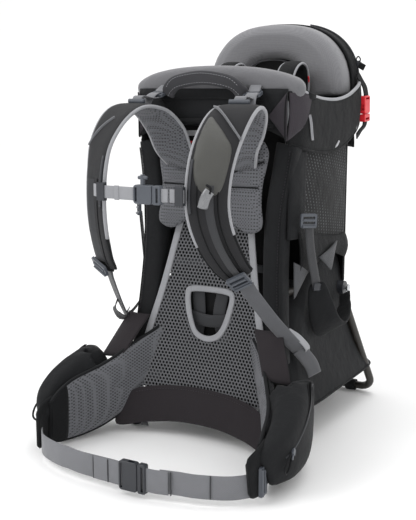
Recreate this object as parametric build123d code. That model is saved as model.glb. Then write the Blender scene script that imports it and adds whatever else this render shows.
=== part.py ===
from build123d import *
import math
import os

# Framed child carrier worn like a rucksack. Millimetres, +Z up, the wearer's
# side faces -Y, the child sits behind the wearer (+Y). The origin lies on the
# floor, at the middle of the width and of the depth with the kickstand out.
# Single-sided shapes are drawn at +X, called right as seen from the -Y side.

os.makedirs("parts", exist_ok=True)

ACROSS = (1, 0, 0)
FORWARD = (0, -1, 0)    # the way the wearer faces
UP = (0, 0, 1)

# ------------------------------------------------------------------ sizes
TUBE_R = 8.0            # frame tube radius
BASE_HALF = 146.0       # half width of the frame at the floor
WAIST_HALF = 118.0      # half width of the frame at its narrowest
TOP_HALF = 150.0        # half width of the frame at the cockpit rim
BAR_Z = 614.0           # height of the top bar's centre at mid-width
RUN = 0.05              # running clearance, radial

FOOT_R = 12.0
FOOT_H = 14.0
FOOT_Y = -60            # front feet and lower ends of the frame tube

HOOP_R = 6.0            # cockpit hoop radius
STRUT_R = 6.5           # side strut radius
SMALL_WALL = 1.4        # wall of the cockpit hoop and of the struts

PIVOT_Y, PIVOT_Z = 195.0, 240.0   # kickstand hinge axis
PIN_R = 4.0             # kickstand pivot pin
PIN_X, PIN_LENGTH = 138, 48
PIN_HEAD_R, PIN_HEAD_T = 7.0, 3.2
BRACKET_X0, BRACKET_X1 = 120, 132
KICK_R = 7.5            # kickstand tube
KICK_PAD_R = KICK_R + 3.5         # kickstand feet, which rest on the floor
KICK_X = 150.0          # kickstand leg at the hinge
KICK_FOOT_X = 174.0     # kickstand leg at the floor
KICK_FOOT_Y = 322.0     # kickstand bar centre, deployed

STAY_R = 3.0            # torso adjustment rods
STAY_X = 30.0

HEAD_HALF = 144.0       # headrest half width
HEAD_BASE_Z = 602
HEAD_TOP = 727.0
HEAD_Y0, HEAD_Y1 = 192.0, 260.0

WAIST_WEB = 38.0        # webbing widths
CHEST_WEB = 20.0
STRAP_WEB = 25.0
LIFTER_WEB = 20
STIRRUP_WEB = 20
COCKPIT_WEB = 18
WEB_T = 1.6             # webbing thickness

BUCKLE_RIM = 9.0        # how much wider a buckle is than its webbing
BUCKLE_T = 10.0         # side-release buckle thickness
SLOT_GAP = 0.8          # slot clearance at each edge of the webbing
STRAP_T = 7.0           # shoulder strap half thickness


# ------------------------------------------------------- output and solids
def save(name, shape):
    export_step(shape, f"parts/{name}.step")


def mir(shape):
    return mirror(shape, about=Plane.YZ)


def group(*shapes):
    found = [solid for shape in shapes for solid in shape.solids()]
    return Compound(children=[Solid(solid.wrapped) for solid in found])


def save_pair(name, right):
    """One file that holds the shape and its mirror image."""
    save(name, group(right, mir(right)))


def save_sides(name, right):
    """One file for each side."""
    save(f"{name}_right", right)
    save(f"{name}_left", mir(right))


def largest(shape):
    return max(shape.solids(), key=lambda solid: solid.volume)


def block(x0, x1, y0, y1, z0, z1):
    centre = Pos((x0 + x1) / 2, (y0 + y1) / 2, (z0 + z1) / 2)
    return centre * Box(x1 - x0, y1 - y0, z1 - z0)


def x_cylinder(x, y, z, radius, length):
    """Cylinder along X, centred on the point."""
    return Pos(x, y, z) * Rot(0, 90, 0) * Cylinder(radius, length)


def place(shape, origin, along, out):
    """Puts shape at origin with its local X along and its local Z out."""
    return Plane(origin=origin, x_dir=along, z_dir=out).location * shape


# ------------------------------------------------------ outlines and prisms
def whole(half):
    """Closed outline from its +X half; points on the axis aren't repeated."""
    return half + [(-x, y) for x, y in reversed(half) if x != 0]


def outline_face(points, plane):
    return plane * make_face(Polyline(*points, close=True))


def prism_x(points, x0, x1):
    """Outline in (y, z), from x0 to x1."""
    plane = Plane(origin=(x0, 0, 0), x_dir=(0, 1, 0), z_dir=(1, 0, 0))
    return extrude(outline_face(points, plane), x1 - x0)


def prism_y(points, y0, y1):
    """Outline in (x, z), from y0 to y1."""
    plane = Plane(origin=(0, y0, 0), x_dir=ACROSS, z_dir=FORWARD)
    return extrude(outline_face(points, plane), -(y1 - y0))


def arch(half, top, low, power, steps):
    """Upper half of a superellipse, in (x, z)."""
    points = []
    for i in range(steps + 1):
        angle = math.pi * i / steps
        c, s = math.cos(angle), math.sin(angle)
        x = half * math.copysign(abs(c) ** (2 / power), c)
        points.append((x, low + (top - low) * abs(s) ** (2 / power)))
    return points


# --------------------------------------------------------- tubes and strips
def sweep_round(path, radius):
    return sweep(Plane(origin=path @ 0, z_dir=path % 0) * Circle(radius), path=path)


def tube(points, radius, bore=None, to_middle=False):
    """Round tube; to_middle levels its end so that two mirrored halves meet."""
    points = [Vector(*p) for p in points]
    if to_middle:
        first = (points[1] - points[0]).normalized()
        path = Spline(*points, tangents=[first, Vector(-1, 0, 0)])
    else:
        path = Spline(*points)
    body = sweep_round(path, radius)
    if bore:
        body = body - sweep_round(path, bore)
    return body


def smooth(points, steps):
    """Catmull-Rom curve through points of any dimension."""
    out = []
    last = len(points) - 1
    for i in range(last):
        p0, p1 = points[max(i - 1, 0)], points[i]
        p2, p3 = points[i + 1], points[min(i + 2, last)]
        for j in range(steps):
            t = j / steps
            out.append(tuple(
                0.5 * (
                    2 * b
                    + (c - a) * t
                    + (2 * a - 5 * b + 4 * c - d) * t * t
                    + (3 * b - a - 3 * c + d) * t * t * t
                )
                for a, b, c, d in zip(p0, p1, p2, p3)
            ))
    out.append(tuple(points[-1]))
    return out


def tangent_at(points, i):
    before = Vector(*points[max(i - 1, 0)][:3])
    after = Vector(*points[min(i + 1, len(points) - 1)][:3])
    return (after - before).normalized()


def square_to(direction, axis):
    """Unit vector nearest to direction that is square to the unit axis."""
    direction = Vector(*direction)
    return (direction - axis * direction.dot(axis)).normalized()


def station(points, i, direction, half_width, half_thick):
    """Strip section at point i, its width turned square to the curve."""
    tangent = tangent_at(points, i)
    width = square_to(direction, tangent)
    return points[i][:3], width, tangent.cross(width), half_width, half_thick


def strip(stations):
    """Flat strip through stations (centre, width direction, normal,
    half width, half thickness)."""
    faces = []
    for centre, width, normal, half_width, half_thick in stations:
        centre, width = Vector(*centre), Vector(*width).normalized()
        side = width * half_width
        rise = square_to(normal, width) * half_thick
        corners = [
            centre + side + rise, centre - side + rise,
            centre - side - rise, centre + side - rise,
        ]
        faces.append(make_face(Polyline(*corners, close=True)))
    return loft(faces, ruled=True)


def ribbon(points, direction, half_width, half_thick):
    """Strip of constant section, its width kept square to the curve."""
    count = len(points)
    return strip([station(points, i, direction, half_width, half_thick) for i in range(count)])


def level_band(points, direction, half_width, half_thick):
    """Strip of constant section whose width keeps exactly to direction."""
    stations = []
    for i, point in enumerate(points):
        normal = Vector(*direction).cross(tangent_at(points, i))
        stations.append((point, direction, normal, half_width, half_thick))
    return strip(stations)


def padded_stations(points):
    """Stations on a smooth curve through (x, y, z, half height, half thickness)."""
    line = smooth(points, 2)
    return [station(line, i, UP, *line[i][3:]) for i in range(len(line))]


# ---------------------------------------------------------------- buckles
def ladder_lock(web, length):
    """Webbing adjuster: X along the webbing, Y across it, Z out of it."""
    width = web + BUCKLE_RIM
    slot = extrude(RectangleRounded(3.6, web + 1.5, 0.8), 12, both=True)
    body = extrude(RectangleRounded(length, width, 3.2), 4.6)
    for x in (-5.4, 3.4):
        body -= Pos(x, 0, 0) * slot
    lip = Pos(length / 2 - 2.2, 0, 5.6) * Rot(90, 0, 0) * Cylinder(2.1, width - 5)
    bar = Pos(-1.0, 0, 5.0) * Rot(90, 0, 0) * Cylinder(1.7, web + 1)
    return body + lip + bar


def rounded_plate(x, length, width, corner, top_fillet):
    """Buckle body centred on x, its upper rim rounded."""
    outline = RectangleRounded(length, width, corner)
    body = Pos(x, 0, 0) * extrude(outline, BUCKLE_T / 2, both=True)
    return fillet(body.edges().group_by(Axis.Z)[-1], top_fillet)


def web_slot(web, x0, x1):
    half = web / 2 + SLOT_GAP
    return block(x0, x1, -half, half, -BUCKLE_T, BUCKLE_T)


def socket(web):
    """Side-release buckle, outer half: X along the webbing, mouth at x = 0."""
    length = 33.0
    half = (web + BUCKLE_RIM) / 2
    cavity = BUCKLE_T / 2 - 2
    body = rounded_plate(-length / 2, length, 2 * half, corner=5.0, top_fillet=1.6)
    body -= block(-19, 1, -(half - 2.6), half - 2.6, -cavity, cavity)
    window = block(-17, -6, half - 4.5, half + 2, -cavity, cavity)
    for side_window in (mirror(window, about=Plane.XZ), window):
        body -= side_window
    return body - web_slot(web, -30, -26)


def plug(web):
    """Side-release buckle, inner half: its prongs reach to x = -17."""
    half = (web + BUCKLE_RIM) / 2
    body = rounded_plate(8.0, 14.0, 2 * half, corner=3.0, top_fillet=1.4)
    body -= web_slot(web, 7.5, 11.5)
    prong = block(-17, 1.4, half - 8.2, half - 5.0, -2.2, 2.2)
    catch = block(-16, -9, half - 5.2, half - 3.4, -2.2, 2.2)
    body += mirror(prong, about=Plane.XZ)
    body += mirror(catch, about=Plane.XZ)
    body += prong
    body += catch
    body += block(-13, 1.4, -1.6, 1.6, -2.2, 2.2)
    return body


def save_buckle(name, web, origin, along, out):
    save(f"{name}_socket", place(socket(web), origin, along, out))
    save(f"{name}_plug", place(plug(web), origin, along, out))


# ------------------------------------------------------------------ frame
# right half of the main hoop, floor to mid-width: x, y, z
MAIN_PATH = [
    (BASE_HALF, FOOT_Y, 16), (BASE_HALF - 1, -58, 50), (138, -50, 120), (125, -36, 210),
    (WAIST_HALF, -25, 310), (WAIST_HALF + 1, -18, 400), (132, -12, 490),
    (TOP_HALF - 4, -8, 548), (TOP_HALF - 2, -8, 580), (134, -12, 598),
    (95, -19, 607), (45, -23, 612), (0, -24, BAR_Z),
]
main_clearance = tube(MAIN_PATH, TUBE_R + 0.3, to_middle=True)
main_half = tube(MAIN_PATH, TUBE_R, to_middle=True)
save("main_frame_tube", main_half + mir(main_half))

foot = Cylinder(FOOT_R, FOOT_H, align=(Align.CENTER, Align.CENTER, Align.MIN))
foot = fillet(foot.edges().group_by(Axis.Z)[0], 3)
save_pair("front_feet", Pos(BASE_HALF, FOOT_Y, 0) * foot)

save("base_cross_tube", x_cylinder(0, -57.5, 44, 6.5, 2 * (BASE_HALF - 10.0)))

# bowed spring bar that stretches the mesh panel, cut clear of both uprights
BOW = [(-122, -52, 96), (-80, -38, 96), (0, -30, 96), (80, -38, 96), (122, -52, 96)]
bow = ribbon(smooth(BOW, 3), UP, 9, 1.2)
save("lumbar_spring_bar", largest(bow - main_clearance - mir(main_clearance)))

# cockpit hoop: from the top corners of the main hoop back and up behind the headrest
HOOP_PATH = [
    (TOP_HALF - 8, 4, 566), (TOP_HALF - 9, 60, 560), (TOP_HALF - 9, 140, 562),
    (TOP_HALF - 8, 215, 575), (TOP_HALF - 12, 262, 592), (122, 276, 620),
    (100, 279, 650), (58, 280, 668), (0, 281, 674),
]
hoop_half = tube(HOOP_PATH, HOOP_R, HOOP_R - SMALL_WALL, to_middle=True)
hoop_clearance = tube(HOOP_PATH, HOOP_R + 0.4, to_middle=True)
save("cockpit_hoop", hoop_half + mir(hoop_half))

# struts that carry the kickstand hinges
STRUT_PATH = [(117, -14, 262), (121, 60, 256), (124, 130, 248), (126, 176, 242)]
save_pair("side_struts", tube(STRUT_PATH, STRUT_R, STRUT_R - SMALL_WALL))
save("seat_cross_tube", x_cylinder(0, 150, 219, 5.0, 2 * 112))

# -------------------------------------------------------------- kickstand
# hinge brackets: a plate on each strut, pierced by the pivot pin
BRACKET = [
    (PIVOT_Y - 15, PIVOT_Z - 14), (PIVOT_Y + 17, PIVOT_Z - 14),
    (PIVOT_Y + 17, PIVOT_Z + 14), (PIVOT_Y - 15, PIVOT_Z + 14),
]
bracket = prism_x(BRACKET, BRACKET_X0, BRACKET_X1)
bracket = fillet(bracket.edges().filter_by(Axis.X), 6)
bracket_x = (BRACKET_X0 + BRACKET_X1) / 2
bracket -= x_cylinder(bracket_x, PIVOT_Y, PIVOT_Z, PIN_R + RUN, 40)
save_pair("kickstand_brackets", bracket)

pin = x_cylinder(PIN_X, PIVOT_Y, PIVOT_Z, PIN_R, PIN_LENGTH)
head_x = PIN_X + PIN_LENGTH / 2 + PIN_HEAD_T / 2
pin_head = x_cylinder(head_x, PIVOT_Y, PIVOT_Z, PIN_HEAD_R, PIN_HEAD_T)
save_pair("kickstand_pivot_pins", pin + pin_head)

# one bent tube between two hinge eyes
leg_x, leg_y, leg_z = KICK_X - 0.9, PIVOT_Y + 6.3, PIVOT_Z - 11.9
kick_path = FilletPolyline(
    (leg_x, leg_y, leg_z),
    (KICK_FOOT_X, KICK_FOOT_Y, KICK_PAD_R),
    (-KICK_FOOT_X, KICK_FOOT_Y, KICK_PAD_R),
    (-leg_x, leg_y, leg_z),
    radius=24,
)
save("kickstand_tube", sweep_round(kick_path, KICK_R))

eye = x_cylinder(KICK_X - 2, PIVOT_Y, PIVOT_Z, 12.5, 19)
eye -= x_cylinder(KICK_X, PIVOT_Y, PIVOT_Z, PIN_R + RUN, 60)
save_pair("kickstand_eyes", eye)

kick_pad = x_cylinder(128, KICK_FOOT_Y, KICK_PAD_R, KICK_PAD_R, 20)
kick_pad -= x_cylinder(128, KICK_FOOT_Y, KICK_PAD_R, KICK_R + 1.0, 40)
save_pair("kickstand_feet", kick_pad)

# ------------------------------------------------- torso length adjustment
# local Z runs up the rods, local Y back towards the child
ROD_PLANE = Plane(origin=(0, 2, 445), x_dir=ACROSS, z_dir=(0, 0.0995037, 0.9950372))


def on_rods(shape):
    return ROD_PLANE.location * shape


def bore_for_rods(shape, clearance):
    for x in (STAY_X, -STAY_X):
        shape -= Pos(x, 0, 0) * Cylinder(STAY_R + clearance, 400)
    return shape


def rod_bar(half_length, z):
    """Flat bar across both rods, z at its lower face."""
    bar = block(-half_length, half_length, -3.6, 5.6, z, z + 13)
    return on_rods(bore_for_rods(bar, 0.02))


save_pair("torso_rods", on_rods(Pos(STAY_X, 0, -18) * Cylinder(STAY_R, 262)))
save("torso_rod_bars", group(rod_bar(96, -149.0), rod_bar(106, 100.0)))

# plate that slides on the rods, with a ledge towards the wearer
slider = block(-42, 42, -8, 7, -35, 45)
slider = fillet(slider.edges().filter_by(Axis.Y), 6)
slider += block(-28, 28, -29, -7, 30, 43)
save("yoke_slider", on_rods(bore_for_rods(slider, RUN)))

# yoke: foam pad on the slider, its lobes reach down over the mesh;
# right half, local x and z
YOKE_HALF = [
    (0, -44), (18, -48), (40, -62), (62, -80), (86, -72), (92, -40),
    (88, 6), (84, 34), (62, 52), (40, 58), (20, 52), (0, 46),
]
yoke_plane = Plane(origin=(0, -30, 0), x_dir=ACROSS, z_dir=FORWARD)
save("yoke_pad", on_rods(extrude(outline_face(whole(YOKE_HALF), yoke_plane), 13)))

# front wall of the child compartment, behind the rods
save("front_wall", on_rods(block(-104, 104, 11, 19, -232, 88)))

# ------------------------------------------------------------- wearer side
BACK_PLANE = Plane(origin=(0, -75, 83), x_dir=ACROSS, z_dir=(0, -0.98331, 0.18191))

# right halves on the back plane: half width, distance up the plane
MESH_HALF = [
    (0, 7), (70, 2), (119, -8), (115.5, 30), (108, 70), (98, 110),
    (90, 160), (84, 200), (76, 240), (66, 300),
]
WINDOW_HALF = [(44, 178), (47, 168), (40, 135), (32, 112), (14, 99)]
LUMBAR_HALF = [
    (0, 5.5), (70, 0.5), (118, -9.5), (128, -14), (134, -40), (128, -60), (60, -54), (0, -52),
]
mesh = extrude(outline_face(whole(MESH_HALF), BACK_PLANE), -3.0)
mesh = mesh - extrude(outline_face(whole(WINDOW_HALF), BACK_PLANE), -20, both=True)
save("mesh_backpanel", mesh)
save("lumbar_panel", extrude(outline_face(whole(LUMBAR_HALF), BACK_PLANE), -8.0))

# padded sleeve round each upright, cut clear of the upright and the strut: x, y, z
SLEEVE_LINE = [
    (130, -44, 176), (125, -36, 210), (WAIST_HALF, -25, 310),
    (WAIST_HALF + 1, -18, 400), (128, -14, 470), (140, -10, 525),
]
sleeve = strip([((x - 1, y + 1, z), ACROSS, (0, 1, 0), 18, 19) for x, y, z in SLEEVE_LINE])
sleeve = largest(sleeve - main_clearance)
sleeve -= tube([(117, -30, 263), *STRUT_PATH[:2]], STRUT_R + 0.7)
save_pair("frame_sleeves", largest(sleeve))

# drool pad over the top bar; right half, x and z
DROOL_HALF = [
    (0, 625), (60, 624), (100, 620), (125, 614), (141, 607.5), (153, 601),
    (153, 604), (141, 618), (120, 628), (80, 634), (0, 637),
]
save("drool_pad", prism_y(whole(DROOL_HALF), -48, 2))

# grab handle: an arched band in front of the drool pad
HANDLE = [
    (-68, -61, 602), (-60, -62, 620), (-34, -62, 634), (0, -62, 638),
    (34, -62, 634), (60, -62, 620), (68, -61, 602),
]
save("grab_handle", level_band(smooth(HANDLE, 3), FORWARD, 10, 2.2))

# ---------------------------------------------------------------- cockpit
# side outlines: y, z
WALL = [
    (24, 584), (60, 580), (110, 572), (160, 571), (205, 580), (245, 598),
    (256, 598), (262, 556), (235, 526), (160, 504), (80, 494), (24, 496),
]
SIDE_MESH = [(14, 340), (14, 488), (80, 486), (160, 494), (212, 512), (206, 420), (200, 340)]
COMPARTMENT = [(-22, 62), (110, 34), (286, 32), (304, 56), (222, 206), (30, 206), (-4, 180)]
save_pair("cockpit_walls", largest(prism_x(WALL, 143, 153) - hoop_clearance))
save_pair("side_mesh_panels", prism_x(SIDE_MESH, 138, 144))
save("base_compartment", prism_x(COMPARTMENT, -116, 116))

# right halves of the upright panels: x, z
BACK_HALF = [(130, 262), (132, 598)]
POCKET_HALF = [(104, 520), (112, 600), (92, 640), (50, 656)]
REAR_HALF = [(118, 236), (124, 500), (112, 516)]
save("cockpit_back", prism_y(whole(BACK_HALF), 206, 216))
save("sunshade_pocket", prism_y(whole(POCKET_HALF), 292, 312))
save("rear_panel", prism_y(whole(REAR_HALF), 222, 236))

# headrest: an arch with an arched opening
headrest = prism_y(arch(HEAD_HALF, HEAD_TOP, HEAD_BASE_Z, 2.5, 20), HEAD_Y0, HEAD_Y1)
headrest -= prism_y(arch(58, 660, 590, 2.2, 12), HEAD_Y0 - 5, HEAD_Y1 + 5)
save("headrest", largest(headrest))

# the sunshade zip runs round the back edge of the headrest
ZIP_RADIUS = 157.0
ZIP_DEGREES = 19        # place of the pull, up from +X
zip_angle = math.radians(ZIP_DEGREES)
zip_x = ZIP_RADIUS * math.cos(zip_angle)
zip_z = HEAD_BASE_Z + ZIP_RADIUS * math.sin(zip_angle)
save("sunshade_zip_pull", Pos(zip_x, 262, zip_z) * Rot(0, 90 - ZIP_DEGREES, 0) * Box(12, 7, 5))

save_buckle("cockpit_buckle", COCKPIT_WEB, (162.5, 262, 562), (0, 0.05, -1), ACROSS)

# ------------------------------------------------------------- child seat
seat = block(-92, 92, 52, 188, 232, 246)
save("seat_saddle", fillet(seat.edges().filter_by(Axis.Z), 18))
save("seat_backrest", block(-84, 84, 189.5, 199.5, 236, 540))

HARNESS = [
    (36, 180, 470), (38, 178, 560), (40, 170, 604), (44, 148, 622),
    (48, 124, 606), (50, 112, 560), (50, 110, 500),
]
save_pair("child_harness_pads", level_band(smooth(HARNESS, 3), ACROSS, 17, 4))

# ------------------------------------------------------- shoulder harness
# strap centre line: rises from the yoke, over the shoulder, down
STRAP_LINE = [
    # x, y, z, half width
    (64, -52, 503, 30), (78, -62, 540, 32), (92, -88, 570, 33), (101, -128, 579, 33.5),
    (104, -170, 562, 34), (104, -208, 524, 33), (102, -226, 480, 32), (102, -230, 430, 31),
    (108, -217, 384, 29), (118, -192, 344, 26), (126, -171, 323, 23),
]
strap_line = smooth(STRAP_LINE, 2)


def strap_station(i):
    """The strap turns its outer face sideways on the way down."""
    turn = min(1.0, i / (len(strap_line) - 1) / 0.6)
    angle = math.radians(-12 + 42 * turn * turn * (3 - 2 * turn))
    direction = (math.cos(angle), math.sin(angle), 0.0)
    return station(strap_line, i, direction, strap_line[i][3], STRAP_T)


strap_stations = [strap_station(i) for i in range(len(strap_line))]
save_sides("shoulder_strap", strip(strap_stations))


def above_strap(i, gap):
    """Point at the given gap outside the strap's outer face."""
    centre, _, normal, _, half_thick = strap_stations[i]
    return Vector(*centre) + normal * (half_thick + gap)


# load lifters: webbing from the strap's crown up to a buckle by the top bar
lifter_line = smooth([tuple(above_strap(5, 6.0)), (100, -104, 592), (93.5, -84, 590)], 2)
save_pair("load_lifter_webbing", ribbon(lifter_line, (1, 0.1, 0), LIFTER_WEB / 2, WEB_T / 2))
lifter_lock = ladder_lock(LIFTER_WEB, 22)
lifter_lock = place(lifter_lock, (90, -60, 597), (-0.12, 0.86, 0.26), (0, -0.28, 0.96))
save_pair("load_lifter_buckles", lifter_lock)

# lower adjusters, and the webbing from them back to the frame
lock_index = len(strap_line) - 2
lock_along = tangent_at(strap_line, lock_index)
lock_origin = above_strap(lock_index, 5.2) + lock_along * 10
lock_out = strap_stations[lock_index][2]
save_pair("strap_locks", place(ladder_lock(STRAP_WEB, 26), lock_origin, lock_along, lock_out))
LOWER_WEB = [(134, -150, 294), (148, -106, 248), (162, -60, 206), (168, -40, 186)]
lower_web = ribbon(smooth(LOWER_WEB, 3), (0.75, 0.1, 0.62), STRAP_WEB / 2, WEB_T / 2)
save_pair("shoulder_webbing", lower_web)

# ---------------------------------------------------------- sternum strap
CHEST_Y, CHEST_Z = -257.0, 452.0


def chest_block(x0, x1, y0, y1, half_height):
    """Block with y measured from the sternum strap, centred on its height."""
    return block(x0, x1, CHEST_Y + y0, CHEST_Y + y1, CHEST_Z - half_height, CHEST_Z + half_height)


chest_slider = chest_block(64, 78, -5, 3.4, 14)
chest_slider -= chest_block(67, 75, -2.6, 1.0, 12.5)
chest_slider -= chest_block(63, 79, -2.6, 1.0, 11.0)
save_pair("sternum_sliders", chest_slider)
save_buckle("sternum_buckle", CHEST_WEB, (26, CHEST_Y - 4.5, CHEST_Z), ACROSS, FORWARD)
chest_webs = [chest_block(x0, x1, -2.0, -0.4, CHEST_WEB / 2) for x0, x1 in ((55, 74), (-74, -8))]
save("sternum_webbing", group(*chest_webs))

# --------------------------------------------------------------- hip belt
# rear to front along a curve in plan
HIP_WING = [
    # x, y, z of the centre, half height, half thickness
    (131, -92, 126, 40, 6), (139, -110, 116, 52, 8), (156, -134, 100, 54, 8),
    (174, -164, 84, 52, 8), (188, -196, 68, 46, 8), (196, -226, 54, 38, 7),
    (199, -246, 47, 32, 6),
]
HIP_POCKET = [
    # x, y, z of the centre, half height, half thickness
    (150, -100, 126, 44, 5), (172, -128, 112, 50, 13), (190, -156, 98, 50, 19),
    (203, -186, 82, 48, 22), (212, -212, 68, 42, 21), (216, -230, 60, 36, 15),
]
wing_stations = padded_stations(HIP_WING)
save_sides("hip_pad", strip(wing_stations))

# zipped pocket on the outside of the wing, cut clear of it
wing_clearance = strip([(c, w, n, half + 30, t + 0.6) for c, w, n, half, t in wing_stations])
save_sides("hip_pocket", largest(strip(padded_stations(HIP_POCKET)) - wing_clearance))

# zip slider on the pocket; the zip runs straight back and up
zip_front, zip_back = Vector(236.5, -216, 72), Vector(205, -110, 152)
zip_along = (zip_back - zip_front).normalized()
zip_out = square_to((0.93, 0.2, 0.3), zip_along)
zip_pull = fillet((Pos(0, 0, 2.4) * Box(11, 7, 3.4)).edges().filter_by(Axis.Z), 2)
zip_pull = zip_pull + Pos(-9, 0, 2.4) * Box(9, 3, 1.6)
save_sides("hip_zip_pull", place(zip_pull, zip_front + zip_out * 3.2, zip_along, zip_out))

# belt webbing, wing to buckle: x, y
BELT_Z = 31.0
BELT = [(203, -250), (196, -269), (172, -293), (130, -312), (102, -318.5), (73, -323)]
belt_right = [(x, y, BELT_Z) for x, y in smooth(BELT, 3)]
belt_left = [(-x, y, z) for x, y, z in belt_right]
belt_left += [(-30, -324.5, BELT_Z), (10, -324.5, BELT_Z)]
save("belt_webbing_right", ribbon(belt_right, UP, WAIST_WEB / 2, WEB_T / 2))
# the left half stops at x = 3, inside the buckle
left_web = ribbon(belt_left, UP, WAIST_WEB / 2, WEB_T / 2)
save("belt_webbing_left", left_web - block(3, 40, -350, -290, 0, 70))

hip_lock = ladder_lock(WAIST_WEB, 24)
hip_lock = place(hip_lock, (206.5, -251, BELT_Z + 3), (0.08, -0.99, 0), (0.99, 0.08, 0))
save_sides("hip_lock", hip_lock)
save_buckle("waist_buckle", WAIST_WEB, (37, -328, BELT_Z), ACROSS, FORWARD)

# --------------------------------------------------------------- stirrups
STIRRUP = [
    (166, 2, 372), (169, 6, 330), (172, 16, 280), (176, 30, 236), (178, 52, 204),
    (178, 84, 192), (177, 116, 204), (172, 140, 232), (160, 156, 262),
]
stirrup_line = smooth(STIRRUP, 3)


def stirrup_station(i):
    """Webbing width at the ends, up to 6 mm more to each side in between."""
    t = i / (len(stirrup_line) - 1)
    swell = max(0.0, math.sin(math.pi * min(1, max(0, (t - 0.15) / 0.85))))
    return station(stirrup_line, i, ACROSS, STIRRUP_WEB / 2 + 6 * swell, 1.6)


save_sides("stirrup", strip([stirrup_station(i) for i in range(len(stirrup_line))]))
stirrup_lock = ladder_lock(STIRRUP_WEB, 24)
stirrup_lock = place(stirrup_lock, (167, -6, 392), (0, -0.05, -1), (0.75, -0.66, 0))
save_pair("stirrup_buckles", stirrup_lock)
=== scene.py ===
# Child carrier backpack standing upright on the floor: +Z is up, the wearer is on the -Y side,
# the child seat and the kickstand are towards +Y. +X is the side named right (tag "R"), -X the
# side named left ("L"). Points and stations are in millimetres; radii, half widths, thicknesses
# and offsets given to the mesh helpers are in metres, as are surfaces f(u, v), u and v in 0..1.
import bpy
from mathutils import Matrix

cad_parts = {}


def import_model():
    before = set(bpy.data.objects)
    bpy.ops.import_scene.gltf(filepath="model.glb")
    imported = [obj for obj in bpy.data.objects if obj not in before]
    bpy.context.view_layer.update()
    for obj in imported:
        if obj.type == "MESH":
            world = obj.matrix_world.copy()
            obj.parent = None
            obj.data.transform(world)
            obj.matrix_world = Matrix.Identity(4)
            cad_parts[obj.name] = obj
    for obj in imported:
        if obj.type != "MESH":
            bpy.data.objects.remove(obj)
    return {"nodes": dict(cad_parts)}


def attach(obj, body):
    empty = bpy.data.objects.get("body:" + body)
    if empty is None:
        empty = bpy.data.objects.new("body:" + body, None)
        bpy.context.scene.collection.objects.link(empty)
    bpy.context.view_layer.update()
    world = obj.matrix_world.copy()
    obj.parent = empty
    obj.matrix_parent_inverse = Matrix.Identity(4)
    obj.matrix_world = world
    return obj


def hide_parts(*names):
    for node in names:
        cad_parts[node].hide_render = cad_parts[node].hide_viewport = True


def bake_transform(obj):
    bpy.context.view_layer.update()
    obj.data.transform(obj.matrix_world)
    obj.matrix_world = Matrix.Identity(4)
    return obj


cad_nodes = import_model()["nodes"]

import bpy, bmesh, math
import numpy as np
from mathutils import Vector

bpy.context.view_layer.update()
scene = bpy.context.scene

SIDE_WORD = {1: "right", -1: "left"}
# width directions for flat webbing
ALONG_X = (1, 0, 0)
ALONG_Y = (0, 1, 0)
ALONG_Z = (0, 0, 1)


# ---------------------------------------------------------------- materials
def srgb(code):
    """Linear colour from a #rrggbb code."""
    values = [int(code[i:i + 2], 16) / 255 for i in (1, 3, 5)]
    return tuple((c / 12.92 if c <= 0.04045 else ((c + 0.055) / 1.055) ** 2.4)
                 for c in values) + (1.0,)


def shade(colour, factor):
    return tuple(c * factor for c in colour[:3]) + (1.0,)


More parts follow.
